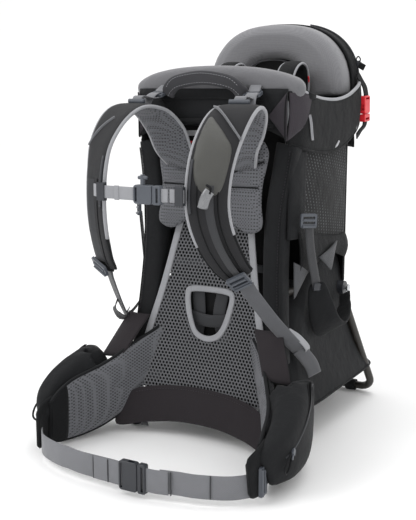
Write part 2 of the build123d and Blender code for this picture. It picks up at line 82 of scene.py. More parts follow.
class Shader:
    """A Principled material and short calls that add nodes to it."""

    def __init__(self, name, roughness, specular, metallic=0.0, sheen=0.0):
        self.material = bpy.data.materials.new(name)
        self.material.use_nodes = True
        self.tree = self.material.node_tree
        self.inputs = self.tree.nodes["Principled BSDF"].inputs
        self.inputs["Roughness"].default_value = roughness
        self.inputs["Specular IOR Level"].default_value = specular
        self.inputs["Metallic"].default_value = metallic
        if sheen:
            self.inputs["Sheen Weight"].default_value = sheen
            self.inputs["Sheen Roughness"].default_value = 0.5
        self.coords = self.node("TexCoord").outputs

    def node(self, kind, **settings):
        node = self.tree.nodes.new("ShaderNode" + kind)
        for key, value in settings.items():
            setattr(node, key, value)
        return node

    def feed(self, value, socket):
        """Link a socket, or set a plain value."""
        if isinstance(value, bpy.types.NodeSocket):
            self.tree.links.new(value, socket)
        else:
            socket.default_value = value

    def math(self, operation, first, second):
        node = self.node("Math", operation=operation)
        self.feed(first, node.inputs[0])
        self.feed(second, node.inputs[1])
        return node.outputs[0]

    def times(self, first, second):
        return self.math("MULTIPLY", first, second)

    def add(self, first, second):
        return self.math("ADD", first, second)

    def noise(self, scale, detail):
        node = self.node("TexNoise")
        node.inputs["Scale"].default_value = scale
        node.inputs["Detail"].default_value = detail
        self.feed(self.coords["Object"], node.inputs["Vector"])
        return node.outputs[0]

    def ramp(self, value, low, high):
        """low..high stretched to 0..1."""
        node = self.node("MapRange")
        self.feed(value, node.inputs[0])
        node.inputs[1].default_value = low
        node.inputs[2].default_value = high
        return node.outputs[0]

    def patches(self, scale, detail, low=0.3, high=0.7):
        """Noise with its middle range stretched to 0..1."""
        return self.ramp(self.noise(scale, detail), low, high)

    def sines(self, waves, vector=None):
        """Sine of each coordinate times its wave number, as three sockets."""
        scaled = self.node("VectorMath", operation="MULTIPLY")
        self.feed(vector or self.coords["Object"], scaled.inputs[0])
        scaled.inputs[1].default_value = waves
        sine = self.node("VectorMath", operation="SINE")
        self.feed(scaled.outputs[0], sine.inputs[0])
        split = self.node("SeparateXYZ")
        self.feed(sine.outputs[0], split.inputs[0])
        return split.outputs

    def mix(self, mask, low, high):
        node = self.node("Mix", data_type="RGBA")
        for index, value in ((0, mask), (6, low), (7, high)):
            self.feed(value, node.inputs[index])
        return node.outputs[2]

    def tint(self, under, mask, amount, colour):
        """Lay a colour over another where the mask is high."""
        return self.mix(self.times(mask, amount), under, colour)

    def color(self, socket):
        self.feed(socket, self.inputs["Base Color"])

    def rough(self, mask, swing, lowest):
        self.feed(self.add(self.times(mask, swing), lowest), self.inputs["Roughness"])

    def bump(self, height, strength, distance, under=None):
        """The latest bump drives the surface; under is the one below it."""
        node = self.node("Bump")
        node.inputs["Strength"].default_value = strength
        node.inputs["Distance"].default_value = distance
        self.feed(height, node.inputs["Height"])
        if under is not None:
            self.feed(under, node.inputs["Normal"])
        self.feed(node.outputs[0], self.inputs["Normal"])
        return node.outputs[0]


def cloth(name, code, pitch=0.0012, rough=0.85, sheen=0.25, weave=0.35, var=0.16, crease=0.5,
          spec=0.25):
    """Woven cloth: thread pitch in metres, weave contrast, blotch amount, crease strength."""
    shader = Shader(name, roughness=rough, specular=spec, sheen=sheen)
    dye = srgb(code)
    wave = 2 * math.pi / pitch
    # slightly different pitches keep the three directions from lining up
    sin_x, sin_y, sin_z = shader.sines((wave, wave * 1.03, wave * 0.97))
    threads = shader.add(shader.times(sin_x, sin_z), shader.times(sin_y, sin_z))
    threads = shader.add(threads, shader.times(sin_x, sin_y))
    threads = shader.ramp(threads, low=-1.2, high=1.2)
    blotches = shader.patches(scale=9, detail=5)
    specks = shader.patches(scale=420, detail=2)
    colour = shader.mix(threads, shade(dye, 1 - weave), shade(dye, 1 + weave * 0.6))
    colour = shader.tint(colour, blotches, amount=var, colour=shade(dye, 1.55))
    colour = shader.tint(colour, specks, amount=0.12, colour=shade(dye, 0.55))
    shader.color(colour)
    shader.rough(blotches, swing=0.1, lowest=rough - 0.05)
    bump = shader.bump(threads, strength=0.35, distance=0.0004)
    creases = shader.noise(scale=38, detail=5)
    shader.bump(creases, strength=crease, distance=0.004, under=bump)
    return shader.material


def spacer_mesh(name, code, cell):
    """Knitted spacer mesh: staggered little holes, one per cell (metres); the holes are painted
    dark as shade.
    """
    shader = Shader(name, roughness=0.92, specular=0.2, sheen=0.08)
    dye = srgb(code)
    wave = 2 * math.pi / cell
    sin_x, sin_y, sin_z = shader.sines((wave, wave * 0.8, wave * 0.9))
    grid = shader.times(sin_x, sin_z)
    grid = shader.add(grid, shader.times(shader.times(sin_y, sin_z), 0.9))
    holes = shader.ramp(grid, low=0.15, high=0.85)
    # the holes are painted near-black: painted shade in the recesses
    colour = shader.mix(holes, dye, shade(dye, 0.22))
    blotches = shader.patches(scale=14, detail=4)
    shader.color(shader.tint(colour, blotches, amount=0.2, colour=shade(dye, 1.35)))
    raised = shader.math("SUBTRACT", 1.0, holes)
    bump = shader.bump(raised, strength=0.7, distance=0.0012)
    fuzz = shader.noise(scale=900, detail=2)
    shader.bump(fuzz, strength=0.2, distance=0.0004, under=bump)
    return shader.material


def woven_web(name, code):
    """Flat woven webbing, ribs from the strap's own UVs (metres)."""
    shader = Shader(name, roughness=0.7, specular=0.35, sheen=0.2)
    dye = srgb(code)
    rib_along, rib_across = 0.0022, 0.0034
    waves = (2 * math.pi / rib_along, 2 * math.pi / rib_across, 0)
    sines = shader.sines(waves, shader.coords["UV"])
    ribs = shader.ramp(shader.times(sines[0], sines[1]), low=-1, high=1)
    colour = shader.mix(ribs, shade(dye, 0.72), shade(dye, 1.2))
    blotches = shader.patches(scale=60, detail=3, low=0.35, high=0.65)
    shader.color(shader.tint(colour, blotches, amount=0.25, colour=shade(dye, 0.75)))
    bump = shader.bump(ribs, strength=0.5, distance=0.0005)
    waviness = shader.noise(scale=50, detail=3)
    shader.bump(waviness, strength=0.25, distance=0.002, under=bump)
    return shader.material


def plastic(name, code, rough=0.38, spec=0.5):
    shader = Shader(name, roughness=rough, specular=spec)
    dye = srgb(code)
    grain = shader.patches(scale=700, detail=3)
    colour = shader.tint(dye, grain, amount=0.25, colour=shade(dye, 1.5))
    blotches = shader.patches(scale=40, detail=3, low=0.4, high=0.7)
    shader.color(shader.tint(colour, blotches, amount=0.3, colour=shade(dye, 0.8)))
    shader.rough(grain, swing=0.16, lowest=rough - 0.06)
    shader.bump(grain, strength=0.15, distance=0.0003)
    return shader.material


def metal(name, code, rough, metallic=0.0):
    shader = Shader(name, roughness=rough, specular=0.5, metallic=metallic)
    dye = srgb(code)
    grain = shader.patches(scale=1500, detail=2)
    shader.color(shader.tint(dye, grain, amount=0.3, colour=shade(dye, 1.7)))
    shader.rough(shader.patches(scale=60, detail=4), swing=0.2, lowest=rough - 0.1)
    shader.bump(grain, strength=0.2, distance=0.0003)
    return shader.material


def dotted_mesh(name, code, dot_code):
    """Black stretch mesh with fine light dotted lines running down it."""
    shader = Shader(name, roughness=0.9, specular=0.2, sheen=0.1)
    dye = srgb(code)
    lean, line_pitch, dot_pitch = math.radians(-22), 0.0100, 0.0060
    mapping = shader.node("Mapping")
    shader.feed(shader.coords["Object"], mapping.inputs[0])
    mapping.inputs["Rotation"].default_value = (lean, 0, 0)
    waves = (0, 2 * math.pi / line_pitch, 2 * math.pi / dot_pitch)
    sines = shader.sines(waves, mapping.outputs[0])
    lines = shader.ramp(sines[1], low=0.62, high=0.95)
    dots = shader.ramp(sines[2], low=-0.3, high=0.5)
    marks = shader.times(lines, dots)
    # the dots fade in and out over the panel
    fade = shader.times(shader.patches(scale=10, detail=3, low=0.35, high=0.6), 0.7)
    shader.color(shader.tint(dye, marks, amount=fade, colour=srgb(dot_code)))
    bump = shader.bump(marks, strength=0.3, distance=0.0006)
    creases = shader.noise(scale=45, detail=4)
    shader.bump(creases, strength=0.5, distance=0.004, under=bump)
    return shader.material


def floor_paper():
    shader = Shader("floor_paper", roughness=0.9, specular=0.1)
    shader.color(shader.tint((0.99, 0.99, 0.99, 1), shader.noise(scale=3, detail=2),
                             amount=0.02, colour=(0.97, 0.97, 0.97, 1)))
    return shader.material


RIPSTOP = dict(pitch=0.0016, crease=0.8, sheen=0.03, weave=0.12)
MATERIALS = {
    "charcoal": cloth("charcoal_ripstop", "#18191b", **RIPSTOP),
    "black": cloth("black_cloth", "#101113", **RIPSTOP),
    "strap": cloth("strap_cover_cloth", "#28282a", pitch=0.0014, crease=0.35, sheen=0.04,
                   weave=0.15),
    "plum": cloth("plum_charcoal_cloth", "#2a2629", pitch=0.0013, crease=0.35, sheen=0.05),
    "gusset": cloth("gusset_cloth", "#39353a", pitch=0.0013, crease=0.4, sheen=0.05),
    # near-black cloth whose darkness is painted shade, for cloth seen only deep inside the pack
    "shadow": cloth("painted_shade_cloth", "#121213", pitch=0.0016, crease=0.4, sheen=0.0),
    "drool": cloth("drool_pad_cloth", "#6d6d70", rough=0.9, crease=0.18, var=0.12, weave=0.18),
    "head": cloth("headrest_cloth", "#7f7f82", pitch=0.0026, rough=0.88, crease=0.1, var=0.1,
                  weave=0.2),
    "handle": cloth("handle_cloth", "#3f3f42", crease=0.25, sheen=0.06),
    "binding": woven_web("binding_tape", "#9a9b9f"),
    "spacer": spacer_mesh("spacer_mesh", "#67686c", cell=0.0052),
    "hexmesh": cloth("back_mesh_yarn", "#6c6d70", pitch=0.0011, crease=0.0, weave=0.3,
                     sheen=0.1),
    "webbing": woven_web("grey_webbing", "#747579"),
    "webmid": woven_web("mid_webbing", "#56575b"),
    "weblight": woven_web("light_webbing", "#939498"),
    "webdark": woven_web("dark_webbing", "#303134"),
    "buckle": plastic("grey_acetal", "#4a4e55"),
    "buckledark": plastic("dark_acetal", "#2a2c31"),
    "red": plastic("red_acetal", "#d0212c", rough=0.35),
    "frame": metal("black_powder_coat", "#26231f", rough=0.42),
    "steel": metal("satin_steel", "#b9bbbe", rough=0.3, metallic=0.9),
    "alu": metal("satin_alu", "#8d8f93", rough=0.35, metallic=0.8),
    "pull": metal("bright_alu", "#77787a", rough=0.3, metallic=0.35),
    "rubber": plastic("black_rubber", "#1d1d1e", rough=0.8, spec=0.2),
    "softshell": cloth("softshell_cloth", "#484845", pitch=0.001, rough=0.5, crease=0.3,
                       weave=0.15, spec=0.4, sheen=0.05),
    "side": dotted_mesh("side_stretch_mesh", "#0f1011", "#8a8c90"),
    "cord": woven_web("light_cord", "#c4c5c8"),
    "greyflap": cloth("grey_flap_cloth", "#4c4d50", pitch=0.0013, crease=0.3, sheen=0.1),
    "label": cloth("blank_label", "#c9cacd", pitch=0.0009, crease=0.05),
    "floor": floor_paper(),
}

SLOT_MATERIALS = {
    "charcoal": "charcoal shadow strap softshell side",
    "plum": "plum gusset",
    "webbing_grey": "binding webbing webmid weblight greyflap",
    "mesh_grey": "hexmesh",
    "spacer_grey": "spacer",
    "head_grey": "head handle",
    "drool_grey": "drool",
}
SLOT_OF = {mat: slot for slot, mats in SLOT_MATERIALS.items() for mat in mats.split()}


# ------------------------------------------------------- curves and outlines
def steps(count):
    """count + 1 even values from 0 to 1."""
    return [i / count for i in range(count + 1)]


def mirror(side, points):
    return [(side * x, y, z) for x, y, z in points]


def symmetric(half):
    """Points from the middle outwards to +X, completed with their mirror images."""
    return [(-x, *rest) for x, *rest in reversed(half[1:])] + half


def from_mm(x, y, z):
    return Vector((x, y, z)) / 1000.0


def to_mm(point):
    return tuple(c * 1000 for c in point)


def catmull(knots, t):
    """Catmull-Rom point between the middle two of four knots."""
    return tuple(0.5 * (2 * b + (c - a) * t + (2 * a - 5 * b + 4 * c - d) * t * t
                        + (3 * b - a - 3 * c + d) * t ** 3)
                 for a, b, c, d in zip(*knots))


def smooth(points, count):
    """Open curve through the points, count steps to each span."""
    pts = [tuple(p) for p in points]
    last = len(pts) - 1
    out = []
    for i in range(last):
        knots = (pts[max(i - 1, 0)], pts[i], pts[i + 1], pts[min(i + 2, last)])
        out += [catmull(knots, j / count) for j in range(count)]
    return out + [pts[-1]]


def smooth_closed(pts, count):
    size = len(pts)
    out = []
    for i in range(size):
        knots = (pts[i - 1], pts[i], pts[(i + 1) % size], pts[(i + 2) % size])
        out += [catmull(knots, j / count) for j in range(count)]
    return out


def resample(outline, count):
    """count points evenly spaced round a closed 2D outline."""
    pts = list(outline) + [outline[0]]
    run = [0]
    for a, b in zip(pts, pts[1:]):
        run.append(run[-1] + math.hypot(b[0] - a[0], b[1] - a[1]))
    out = []
    for k in range(count):
        goal = run[-1] * k / count
        i = next((q for q in range(1, len(run)) if run[q] >= goal - 1e-9), len(run) - 1)
        t = (goal - run[i - 1]) / max(1e-9, run[i] - run[i - 1])
        out.append(tuple(pts[i - 1][q] + t * (pts[i][q] - pts[i - 1][q]) for q in range(2)))
    return out


def inside(point, outline):
    x, y = point
    result = False
    for i, (xi, yi) in enumerate(outline):
        xj, yj = outline[i - 1]
        if (yi > y) != (yj > y) and x < (xj - xi) * (y - yi) / (yj - yi) + xi:
            result = not result
    return result


def segment_distance(point, start, end):
    dx, dy = end[0] - start[0], end[1] - start[1]
    square = dx * dx + dy * dy
    along = ((point[0] - start[0]) * dx + (point[1] - start[1]) * dy) / square
    t = max(0, min(1, along))
    return math.hypot(point[0] - start[0] - t * dx, point[1] - start[1] - t * dy)


def signed_power(value, power):
    return math.copysign(abs(value) ** power, value)


def oval(count, power=1, thick_power=None):
    """Unit superellipse as (across, through) pairs; lower powers are squarer."""
    angles = [2 * math.pi * q / count for q in range(count)]
    return [(signed_power(math.cos(a), power), signed_power(math.sin(a), thick_power or power))
            for a in angles]


def frames_of(points, width=None):
    """(centre, width, normal) at each point; width is a vector, a function of 0..1 or None."""
    out = []
    previous = None
    last = len(points) - 1
    for i, point in enumerate(points):
        tangent = (points[min(i + 1, last)] - points[max(i - 1, 0)]).normalized()
        if callable(width):
            across = Vector(width(i / last))
        elif width is not None:
            across = Vector(width)
        else:
            across = previous or Vector(ALONG_Z if abs(tangent.z) < 0.9 else ALONG_Y)
        across = (across - tangent * across.dot(tangent)).normalized()
        previous = across
        out.append((point, across, tangent.cross(across)))
    return out


def oval_ring(frame, half_width, half_thick, section):
    centre, width, normal = frame
    return [centre + width * half_width * a + normal * half_thick * b for a, b in section]


def surface_line(surface, places, lift=(0, 0, 0)):
    """Points (mm) at the (u, v) places of a surface, moved by lift (metres)."""
    return [to_mm(Vector(surface(u, v)) + Vector(lift)) for u, v in places]


def corner_patch(corners, u, v):
    return corners[0].lerp(corners[1], u).lerp(corners[3].lerp(corners[2], u), v)


# ------------------------------------------------------------- mesh builders
def add_mesh(name, verts, faces, material, uvs=None, slot="own", replaces=None):
    """Smooth-shaded object; slot "own" means the material's usual slot, but the slot is not used.
    """
    mesh = bpy.data.meshes.new(name)
    mesh.from_pydata([tuple(v) for v in verts], [], faces)
    if uvs is not None:
        layer = mesh.uv_layers.new(name="UVMap")
        for loop in mesh.loops:
            layer.data[loop.index].uv = uvs[loop.vertex_index]
    mesh.validate()
    obj = bpy.data.objects.new(name, mesh)
    scene.collection.objects.link(obj)
    mesh.materials.append(MATERIALS[material])
    for face in mesh.polygons:
        face.use_smooth = True
    if slot == "own":
        slot = SLOT_OF.get(material)
    if replaces:
        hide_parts(replaces)
    return obj


def add_solid(name, verts, faces, material, body, uvs=None, **marks):
    """Mesh with its normals turned outwards, riding on a body if one is given."""
    obj = add_mesh(name, verts, faces, material, uvs, **marks)
    bm = bmesh.new()
    bm.from_mesh(obj.data)
    bmesh.ops.recalc_face_normals(bm, faces=bm.faces)
    bm.to_mesh(obj.data)
    bm.free()
    if body:
        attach(obj, body)
    return obj


def loft(name, rings, material, body=None, uvs=None, **marks):
    """Closed rings of the same point count joined in order, with a fan at each end."""
    size = len(rings[0])
    verts = [v for ring in rings for v in ring]
    faces = []
    for i in range(len(rings) - 1):
        for j in range(size):
            a, b = i * size + j, i * size + (j + 1) % size
            faces.append((a, b, b + size, a + size))
    for base, flip in ((0, True), ((len(rings) - 1) * size, False)):
        hub = len(verts)
        verts.append(sum(verts[base:base + size], Vector()) / size)
        for j in range(size):
            a, b = base + j, base + (j + 1) % size
            faces.append((b, a, hub) if flip else (a, b, hub))
    if uvs is None:
        uvs = []
        u = 0.0
        for i, ring in enumerate(rings):
            if i:
                u += (ring[0] - rings[i - 1][0]).length
            v = 0.0
            for j in range(size):
                if j:
                    v += (ring[j] - ring[j - 1]).length
                uvs.append((u, v))
    return add_solid(name, verts, faces, material, body, uvs + [(0, 0)] * 2, **marks)


def tube(name, points, radius, material, body=None, sides=8, thick=None, step=5, **marks):
    """Round tube, or oval when thick, the second radius, is given."""
    frames = frames_of([from_mm(*p) for p in smooth(points, step)])
    section = oval(sides)
    rings = [oval_ring(f, radius, thick or radius, section) for f in frames]
    return loft(name, rings, material, body, **marks)


def seam(name, points, radius, body, step=5):
    """Fine black ridge."""
    return tube(name, points, radius, "black", body, sides=6, step=step)


def ribbon(name, points, width, half_width, thickness, material, body=None, step=6, **marks):
    """Webbing with bevelled edges; its UVs are metres along and across."""
    pts = [from_mm(*p) for p in smooth(points, step)]
    rings, uvs = [], []
    run = 0.0
    for i, (centre, across, normal) in enumerate(frames_of(pts, width)):
        if i:
            run += (pts[i] - pts[i - 1]).length
        h = half_width(i / (len(pts) - 1)) if callable(half_width) else half_width
        q = thickness / 2
        profile = [(-h, 0), (-h + q, q), (-h * 0.5, q), (0, q), (h * 0.5, q), (h - q, q),
                   (h, 0), (h - q, -q), (h * 0.5, -q), (0, -q), (-h * 0.5, -q), (-h + q, -q)]
        rings.append([centre + across * a + normal * b for a, b in profile])
        uvs += [(run, a) for a, _ in profile]
    return loft(name, rings, material, body, uvs, **marks)


def sheet(name, surface, nu, nv, thickness, material, body=None, **marks):
    """Surface thickened along its normal."""
    grid = [[Vector(surface(i / nu, j / nv)) for j in range(nv + 1)] for i in range(nu + 1)]
    top, bottom = [], []
    for i in range(nu + 1):
        for j in range(nv + 1):
            du = grid[min(i + 1, nu)][j] - grid[max(i - 1, 0)][j]
            dv = grid[i][min(j + 1, nv)] - grid[i][max(j - 1, 0)]
            normal = du.cross(dv).normalized()
            top.append(grid[i][j] + normal * thickness / 2)
            bottom.append(grid[i][j] - normal * thickness / 2)
    row, base = nv + 1, len(top)
    faces = []
    for i in range(nu):
        for j in range(nv):
            a = i * row + j
            faces.append((a, a + row, a + row + 1, a + 1))
            faces.append((base + a, base + a + 1, base + a + row + 1, base + a + row))
    edge = [i * row for i in range(nu)] + [nu * row + j for j in range(nv)]
    edge += [i * row + nv for i in range(nu, 0, -1)] + list(range(nv, 0, -1))
    for q, a in enumerate(edge):
        b = edge[(q + 1) % len(edge)]
        faces.append((a, b, base + b, base + a))
    uvs = [(i / nu, j / nv) for i in range(nu + 1) for j in range(nv + 1)] * 2
    return add_solid(name, top + bottom, faces, material, body, uvs, **marks)


def pillow(name, outline, place, front, back, material, body=None, centre=None, seams=(),
           depth=0.0025, rings=12, count=96, power=3.0, **marks):
    """Padded panel over a 2D outline (mm). place(x, y, h) gives the point h metres off the
    base sheet; front and back are paddings; seams are (start, end, groove width) in mm."""
    rim = resample(smooth_closed(outline, 6), count)
    cx, cy = centre or (sum(p[0] for p in rim) / count, sum(p[1] for p in rim) / count)
    verts, faces = [], []

    def fullness(s):
        return max(0.0, 1 - s ** power) ** 0.5

    def groove(point):
        return max([0] + [math.exp(-(segment_distance(point, a, b) / width) ** 2)
                          for a, b, width in seams])

    for facing, padding in ((1, front), (-1, back)):
        base = len(verts)
        height = facing * padding
        if facing > 0:
            height -= depth * groove((cx, cy))
        verts.append(place(cx, cy, height))
        for r in range(1, rings + 1):
            s = math.sin(r / rings * math.pi / 2) ** 0.8
            for p in rim:
                q = (cx + (p[0] - cx) * s, cy + (p[1] - cy) * s)
                height = facing * padding * fullness(s)
                if facing > 0:
                    height -= depth * groove(q) * fullness(s)
                verts.append(place(q[0], q[1], height))
        for j in range(count):
            a, b = base + 1 + j, base + 1 + (j + 1) % count
            faces.append((base, a, b) if facing > 0 else (base, b, a))
        for r in range(rings - 1):
            for j in range(count):
                a = base + 1 + r * count + j
                b = base + 1 + r * count + (j + 1) % count
                face = (a, a + count, b + count, b)
                faces.append(face if facing > 0 else face[::-1])
    # join the two rims
    top = 1 + (rings - 1) * count
    bottom = top + 1 + rings * count
    for j in range(count):
        k = (j + 1) % count
        faces.append((top + j, top + k, bottom + k, bottom + j))
    return add_solid(name, verts, faces, material, body, **marks)


STITCH, STITCH_GAP, THREAD_RADIUS = 0.003, 0.002, 0.00045


def stitches(name, points, material, body):
    """Raised thread dashes along a line of points in metres."""
    verts, faces = [], []
    run = [0.0]
    for a, b in zip(points, points[1:]):
        run.append(run[-1] + (b - a).length)

    def at(goal):
        i = max(1, next((q for q in range(1, len(run)) if run[q] >= goal), len(run) - 1))
        t = (goal - run[i - 1]) / max(1e-9, run[i] - run[i - 1])
        return points[i - 1].lerp(points[i], t)

    start = 0.0
    while start + STITCH < run[-1]:
        a, b = at(start), at(start + STITCH)
        tangent = (b - a).normalized()
        width = tangent.orthogonal().normalized()
        normal = tangent.cross(width)
        base = len(verts)
        for p, k in ((a, 0.5), (a.lerp(b, 0.25), 1), (a.lerp(b, 0.75), 1), (b, 0.5)):
            for q in range(5):
                angle = q * 1.2566
                verts.append(p + (width * math.cos(angle) + normal * math.sin(angle))
                             * THREAD_RADIUS * k)
        for i in range(3):
            for q in range(5):
                x, y = base + i * 5 + q, base + i * 5 + (q + 1) % 5
                faces.append((x, y, y + 5, x + 5))
        start += STITCH + STITCH_GAP
    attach(add_mesh(name, verts, faces, material, slot=None), body)


PUFF_PRESSURE, PUFF_FRAMES = 4.0, 20


def puff(obj, voxel, cap):
    """Inflates a closed padded piece with a short cloth run, moving no point beyond cap."""
    bpy.context.view_layer.objects.active = obj
    for other in bpy.context.selected_objects:
        other.select_set(False)
    obj.select_set(True)
    remesh = obj.modifiers.new("re", "REMESH")
    remesh.mode = "VOXEL"
    remesh.voxel_size = voxel
    remesh.use_smooth_shade = True
    bpy.ops.object.modifier_apply(modifier=remesh.name)
    rest = np.zeros(len(obj.data.vertices) * 3)
    obj.data.vertices.foreach_get("co", rest)
    cloth_sim = obj.modifiers.new("cloth", "CLOTH")
    cloth_sim.settings.use_pressure = True
    cloth_sim.settings.uniform_pressure_force = PUFF_PRESSURE
    cloth_sim.settings.effector_weights.gravity = 0
    cloth_sim.settings.quality = 4
    cloth_sim.point_cache.frame_start = 1
    cloth_sim.point_cache.frame_end = PUFF_FRAMES
    for frame in range(1, PUFF_FRAMES + 1):
        scene.frame_set(frame)
    depsgraph = bpy.context.evaluated_depsgraph_get()
    swollen = np.zeros(len(rest))
    obj.evaluated_get(depsgraph).data.vertices.foreach_get("co", swollen)
    moves = (swollen - rest).reshape(-1, 3)
    lengths = np.linalg.norm(moves, axis=1, keepdims=True)
    moves *= np.minimum(1.0, cap / np.maximum(lengths, 1e-9))
    obj.modifiers.remove(cloth_sim)
    obj.data.vertices.foreach_set("co", (rest.reshape(-1, 3) + moves).ravel())
    obj.data.update()
    for face in obj.data.polygons:
        face.use_smooth = True
    scene.frame_set(1)
    subdivision = obj.modifiers.new("sub", "SUBSURF")
    subdivision.levels = subdivision.render_levels = 1
    return obj


def both_sides(build):
    build(1, "R")
    build(-1, "L")


# ------------------------------------------------- carried-over CAD nodes
CAD_MATERIALS = {
    "frame": "main_frame_tube base_cross_tube cockpit_hoop side_struts seat_cross_tube "
             "kickstand_tube",
    "rubber": "front_feet kickstand_feet",
    "buckledark": "lumbar_spring_bar kickstand_brackets torso_rod_bars kickstand_eyes "
                  "yoke_slider sternum_sliders waist_buckle_socket waist_buckle_plug "
                  "sunshade_zip_pull",
    "steel": "kickstand_pivot_pins",
    "alu": "torso_rods",
    "buckle": "load_lifter_buckles strap_locks sternum_buckle_socket sternum_buckle_plug "
              "hip_lock_right hip_lock_left hip_zip_pull_right hip_zip_pull_left "
              "stirrup_buckles",
    "red": "cockpit_buckle_socket cockpit_buckle_plug",
}
for material, nodes in CAD_MATERIALS.items():
    for node_name in nodes.split():
        slots = cad_nodes[node_name].data.materials
        slots.clear()
        slots.append(MATERIALS[material])

# ------------------------------------------------------------- back panel
BACK_TILT = 0.185    # rise of y with z
# z, half width of the mesh
BACK_EDGE = [(60, 132), (83, 128), (113, 124), (153, 116), (193, 107), (243, 94), (283, 85),
             (323, 77), (383, 66), (418, 62)]
# x, z round the window in the mesh
WINDOW = smooth_closed([
    (-35, 262), (2, 264), (38, 262), (46, 253), (43, 230), (36, 205), (24, 186), (3, 179),
    (-19, 186), (-31, 205), (-39, 230), (-42, 253)], 4)
WINDOW_MID_Z = 222


def back_point(x, z, h=0.0):
    """On the mesh plane, a little bowed; h metres towards the wearer."""
    y = -75 + BACK_TILT * (z - 83)
    bow = 7.0 * (x / 110.0) ** 2
    return Vector((x / 1000, (y - bow) / 1000 - h * 0.983, z / 1000 + h * 0.182))


def back_mesh(pitch=6.6, bar=0.30, thickness=0.0016):
    """Open hexagonal mesh; bar is the share of each cell's radius that is yarn."""
    edge = smooth(BACK_EDGE, 4)
    outline = [(half, z) for z, half in edge] + [(-half, z) for z, half in reversed(edge)]
    left, low = min(p[0] for p in outline), min(p[1] for p in outline)
    right, high = max(p[0] for p in outline), max(p[1] for p in outline)
    radius = pitch / math.sqrt(3)
    verts, faces, cache = [], [], {}

    def vert(centre, reach, angle, h):
        x = centre[0] + reach * math.cos(angle)
        z = centre[1] + reach * math.sin(angle)
        key = (round(x, 2), round(z, 2), round(h, 5))
        if key not in cache:
            cache[key] = len(verts)
            verts.append(back_point(x, z, h))
        return cache[key]

    angles = [math.radians(60 * q + 30) for q in range(6)]
    inner = radius * (1 - bar)
    for r in range(int((high - low) / (1.5 * radius)) + 2):
        for c in range(int((right - left) / pitch) + 2):
            centre = (left + c * pitch + (pitch / 2 if r % 2 else 0), low + r * 1.5 * radius)
            if not inside(centre, outline) or inside(centre, WINDOW):
                continue
            for q in range(6):
                start, end = angles[q], angles[(q + 1) % 6]
                outer_a = vert(centre, radius, start, thickness / 2)
                outer_b = vert(centre, radius, end, thickness / 2)
                inner_b = vert(centre, inner, end, thickness / 3)
                inner_a = vert(centre, inner, start, thickness / 3)
                back_b = vert(centre, inner, end, -thickness / 2)
                back_a = vert(centre, inner, start, -thickness / 2)
                faces.append((outer_a, outer_b, inner_b, inner_a))
                faces.append((inner_a, inner_b, back_b, back_a))
    mesh = add_mesh("back_mesh", verts, faces, "hexmesh", replaces="mesh_backpanel")
    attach(mesh, "frame")


def mesh_binding(side, tag):
    points = [to_mm(back_point(side * (half + 3), z, 0.0008)) for z, half in BACK_EDGE]
    ribbon("mesh_binding_" + tag, points, ALONG_X, 0.0065, 0.0034, "binding", "frame", step=5)


def window_binding():
    points = [to_mm(back_point(x, z, 0.0012)) for x, z in WINDOW + WINDOW[:1]]

    def outwards(t):
        x, _, z = points[int(t * (len(points) - 1))]
        return (x, 0, z - WINDOW_MID_Z)

    ribbon("window_binding", points, outwards, 0.0055, 0.0038, "binding", "frame", step=2)


back_mesh()
both_sides(mesh_binding)
window_binding()
# lining in the painted-shade colour, and straps, seen through the window
sheet("window_lining",
      lambda u, v: (0.062 * (2 * u - 1), -0.028 - 0.004 * math.sin(3 * v), 0.168 + 0.102 * v),
      8, 8, 0.002, "shadow", "frame")
for tag, points, width, half in (
        ("a", [(-30, -36, 172), (-22, -40, 215), (-26, -36, 262)], ALONG_X, 0.012),
        ("b", [(24, -36, 172), (18, -41, 220), (24, -36, 262)], ALONG_X, 0.012),
        ("c", [(-46, -42, 214), (0, -45, 208), (46, -42, 214)], ALONG_Z, 0.011)):
    ribbon("window_strap_" + tag, points, width, half, 0.0016, "webdark", "frame",
           slot="charcoal")
# backing behind the mesh in the painted-shade colour: painted shade seen through the mesh
sheet("mesh_backing", lambda u, v: (
    (0.141 - 0.052 * v) * (2 * u - 1),
    (-75 + BACK_TILT * (355 * v)) / 1000 + 0.0190 + 0.012 * (2 * u - 1) ** 2,
    0.068 + 0.294 * v), 12, 24, 0.002, "shadow", "frame")

# lumbar band under the mesh: x, z
LUMBAR = [(-150, 16), (-142, 60), (-122, 80), (-80, 89), (-40, 93), (0, 94), (40, 93), (80, 89),
          (122, 80), (142, 60), (150, 16), (100, 22), (50, 29), (0, 31), (-50, 29), (-100, 22)]
LUMBAR_STITCH = symmetric([(0, 88.5), (40, 87.5), (80, 83.5), (118, 75)])


def lumbar_point(x, z, h):
    point = back_point(x, z, h)
    return Vector((point.x, point.y - 0.004 - 0.012 * (abs(x) / 140) ** 3, point.z))


pillow("lumbar_band", LUMBAR, lumbar_point, 0.004, 0.004, "plum", "frame", centre=(0, 62),
       replaces="lumbar_panel", power=6, rings=8, count=120)
stitches("lumbar_stitch", [lumbar_point(x, z, 0.0050) for x, z in smooth(LUMBAR_STITCH, 5)],
         "gusset", "frame")
ribbon("lumbar_tab", [(-106, -93, 28), (-106, -95, 20), (-106, -92, 13)], ALONG_X, 0.008, 0.003,
       "webdark", "frame")

# ---------------------------------------------------------------- harness
# shoulder strap centre line from the yoke down: x, y, z, half width
STRAP = [
    (54, -27, 470, 24), (64, -52, 503, 30), (78, -62, 540, 32), (92, -88, 570, 33),
    (101, -128, 579, 33.5), (104, -170, 562, 34), (104, -208, 524, 33), (102, -226, 480, 32),
    (102, -230, 430, 31), (108, -217, 384, 29), (118, -192, 344, 26), (126, -171, 323, 23),
]
COVER_GAP = 0.0012       # underside of the cover off the strap's middle
COVER_THICK = 0.0042


def strap_turn(t):
    """Width direction: the strap turns inwards over the shoulder."""
    u = min(1.0, max(0.0, (t * 11 - 1) / 10) / 0.6)
    angle = math.radians(-12 + 42 * u * u * (3 - 2 * u))
    return (math.cos(angle), math.sin(angle), 0.0)


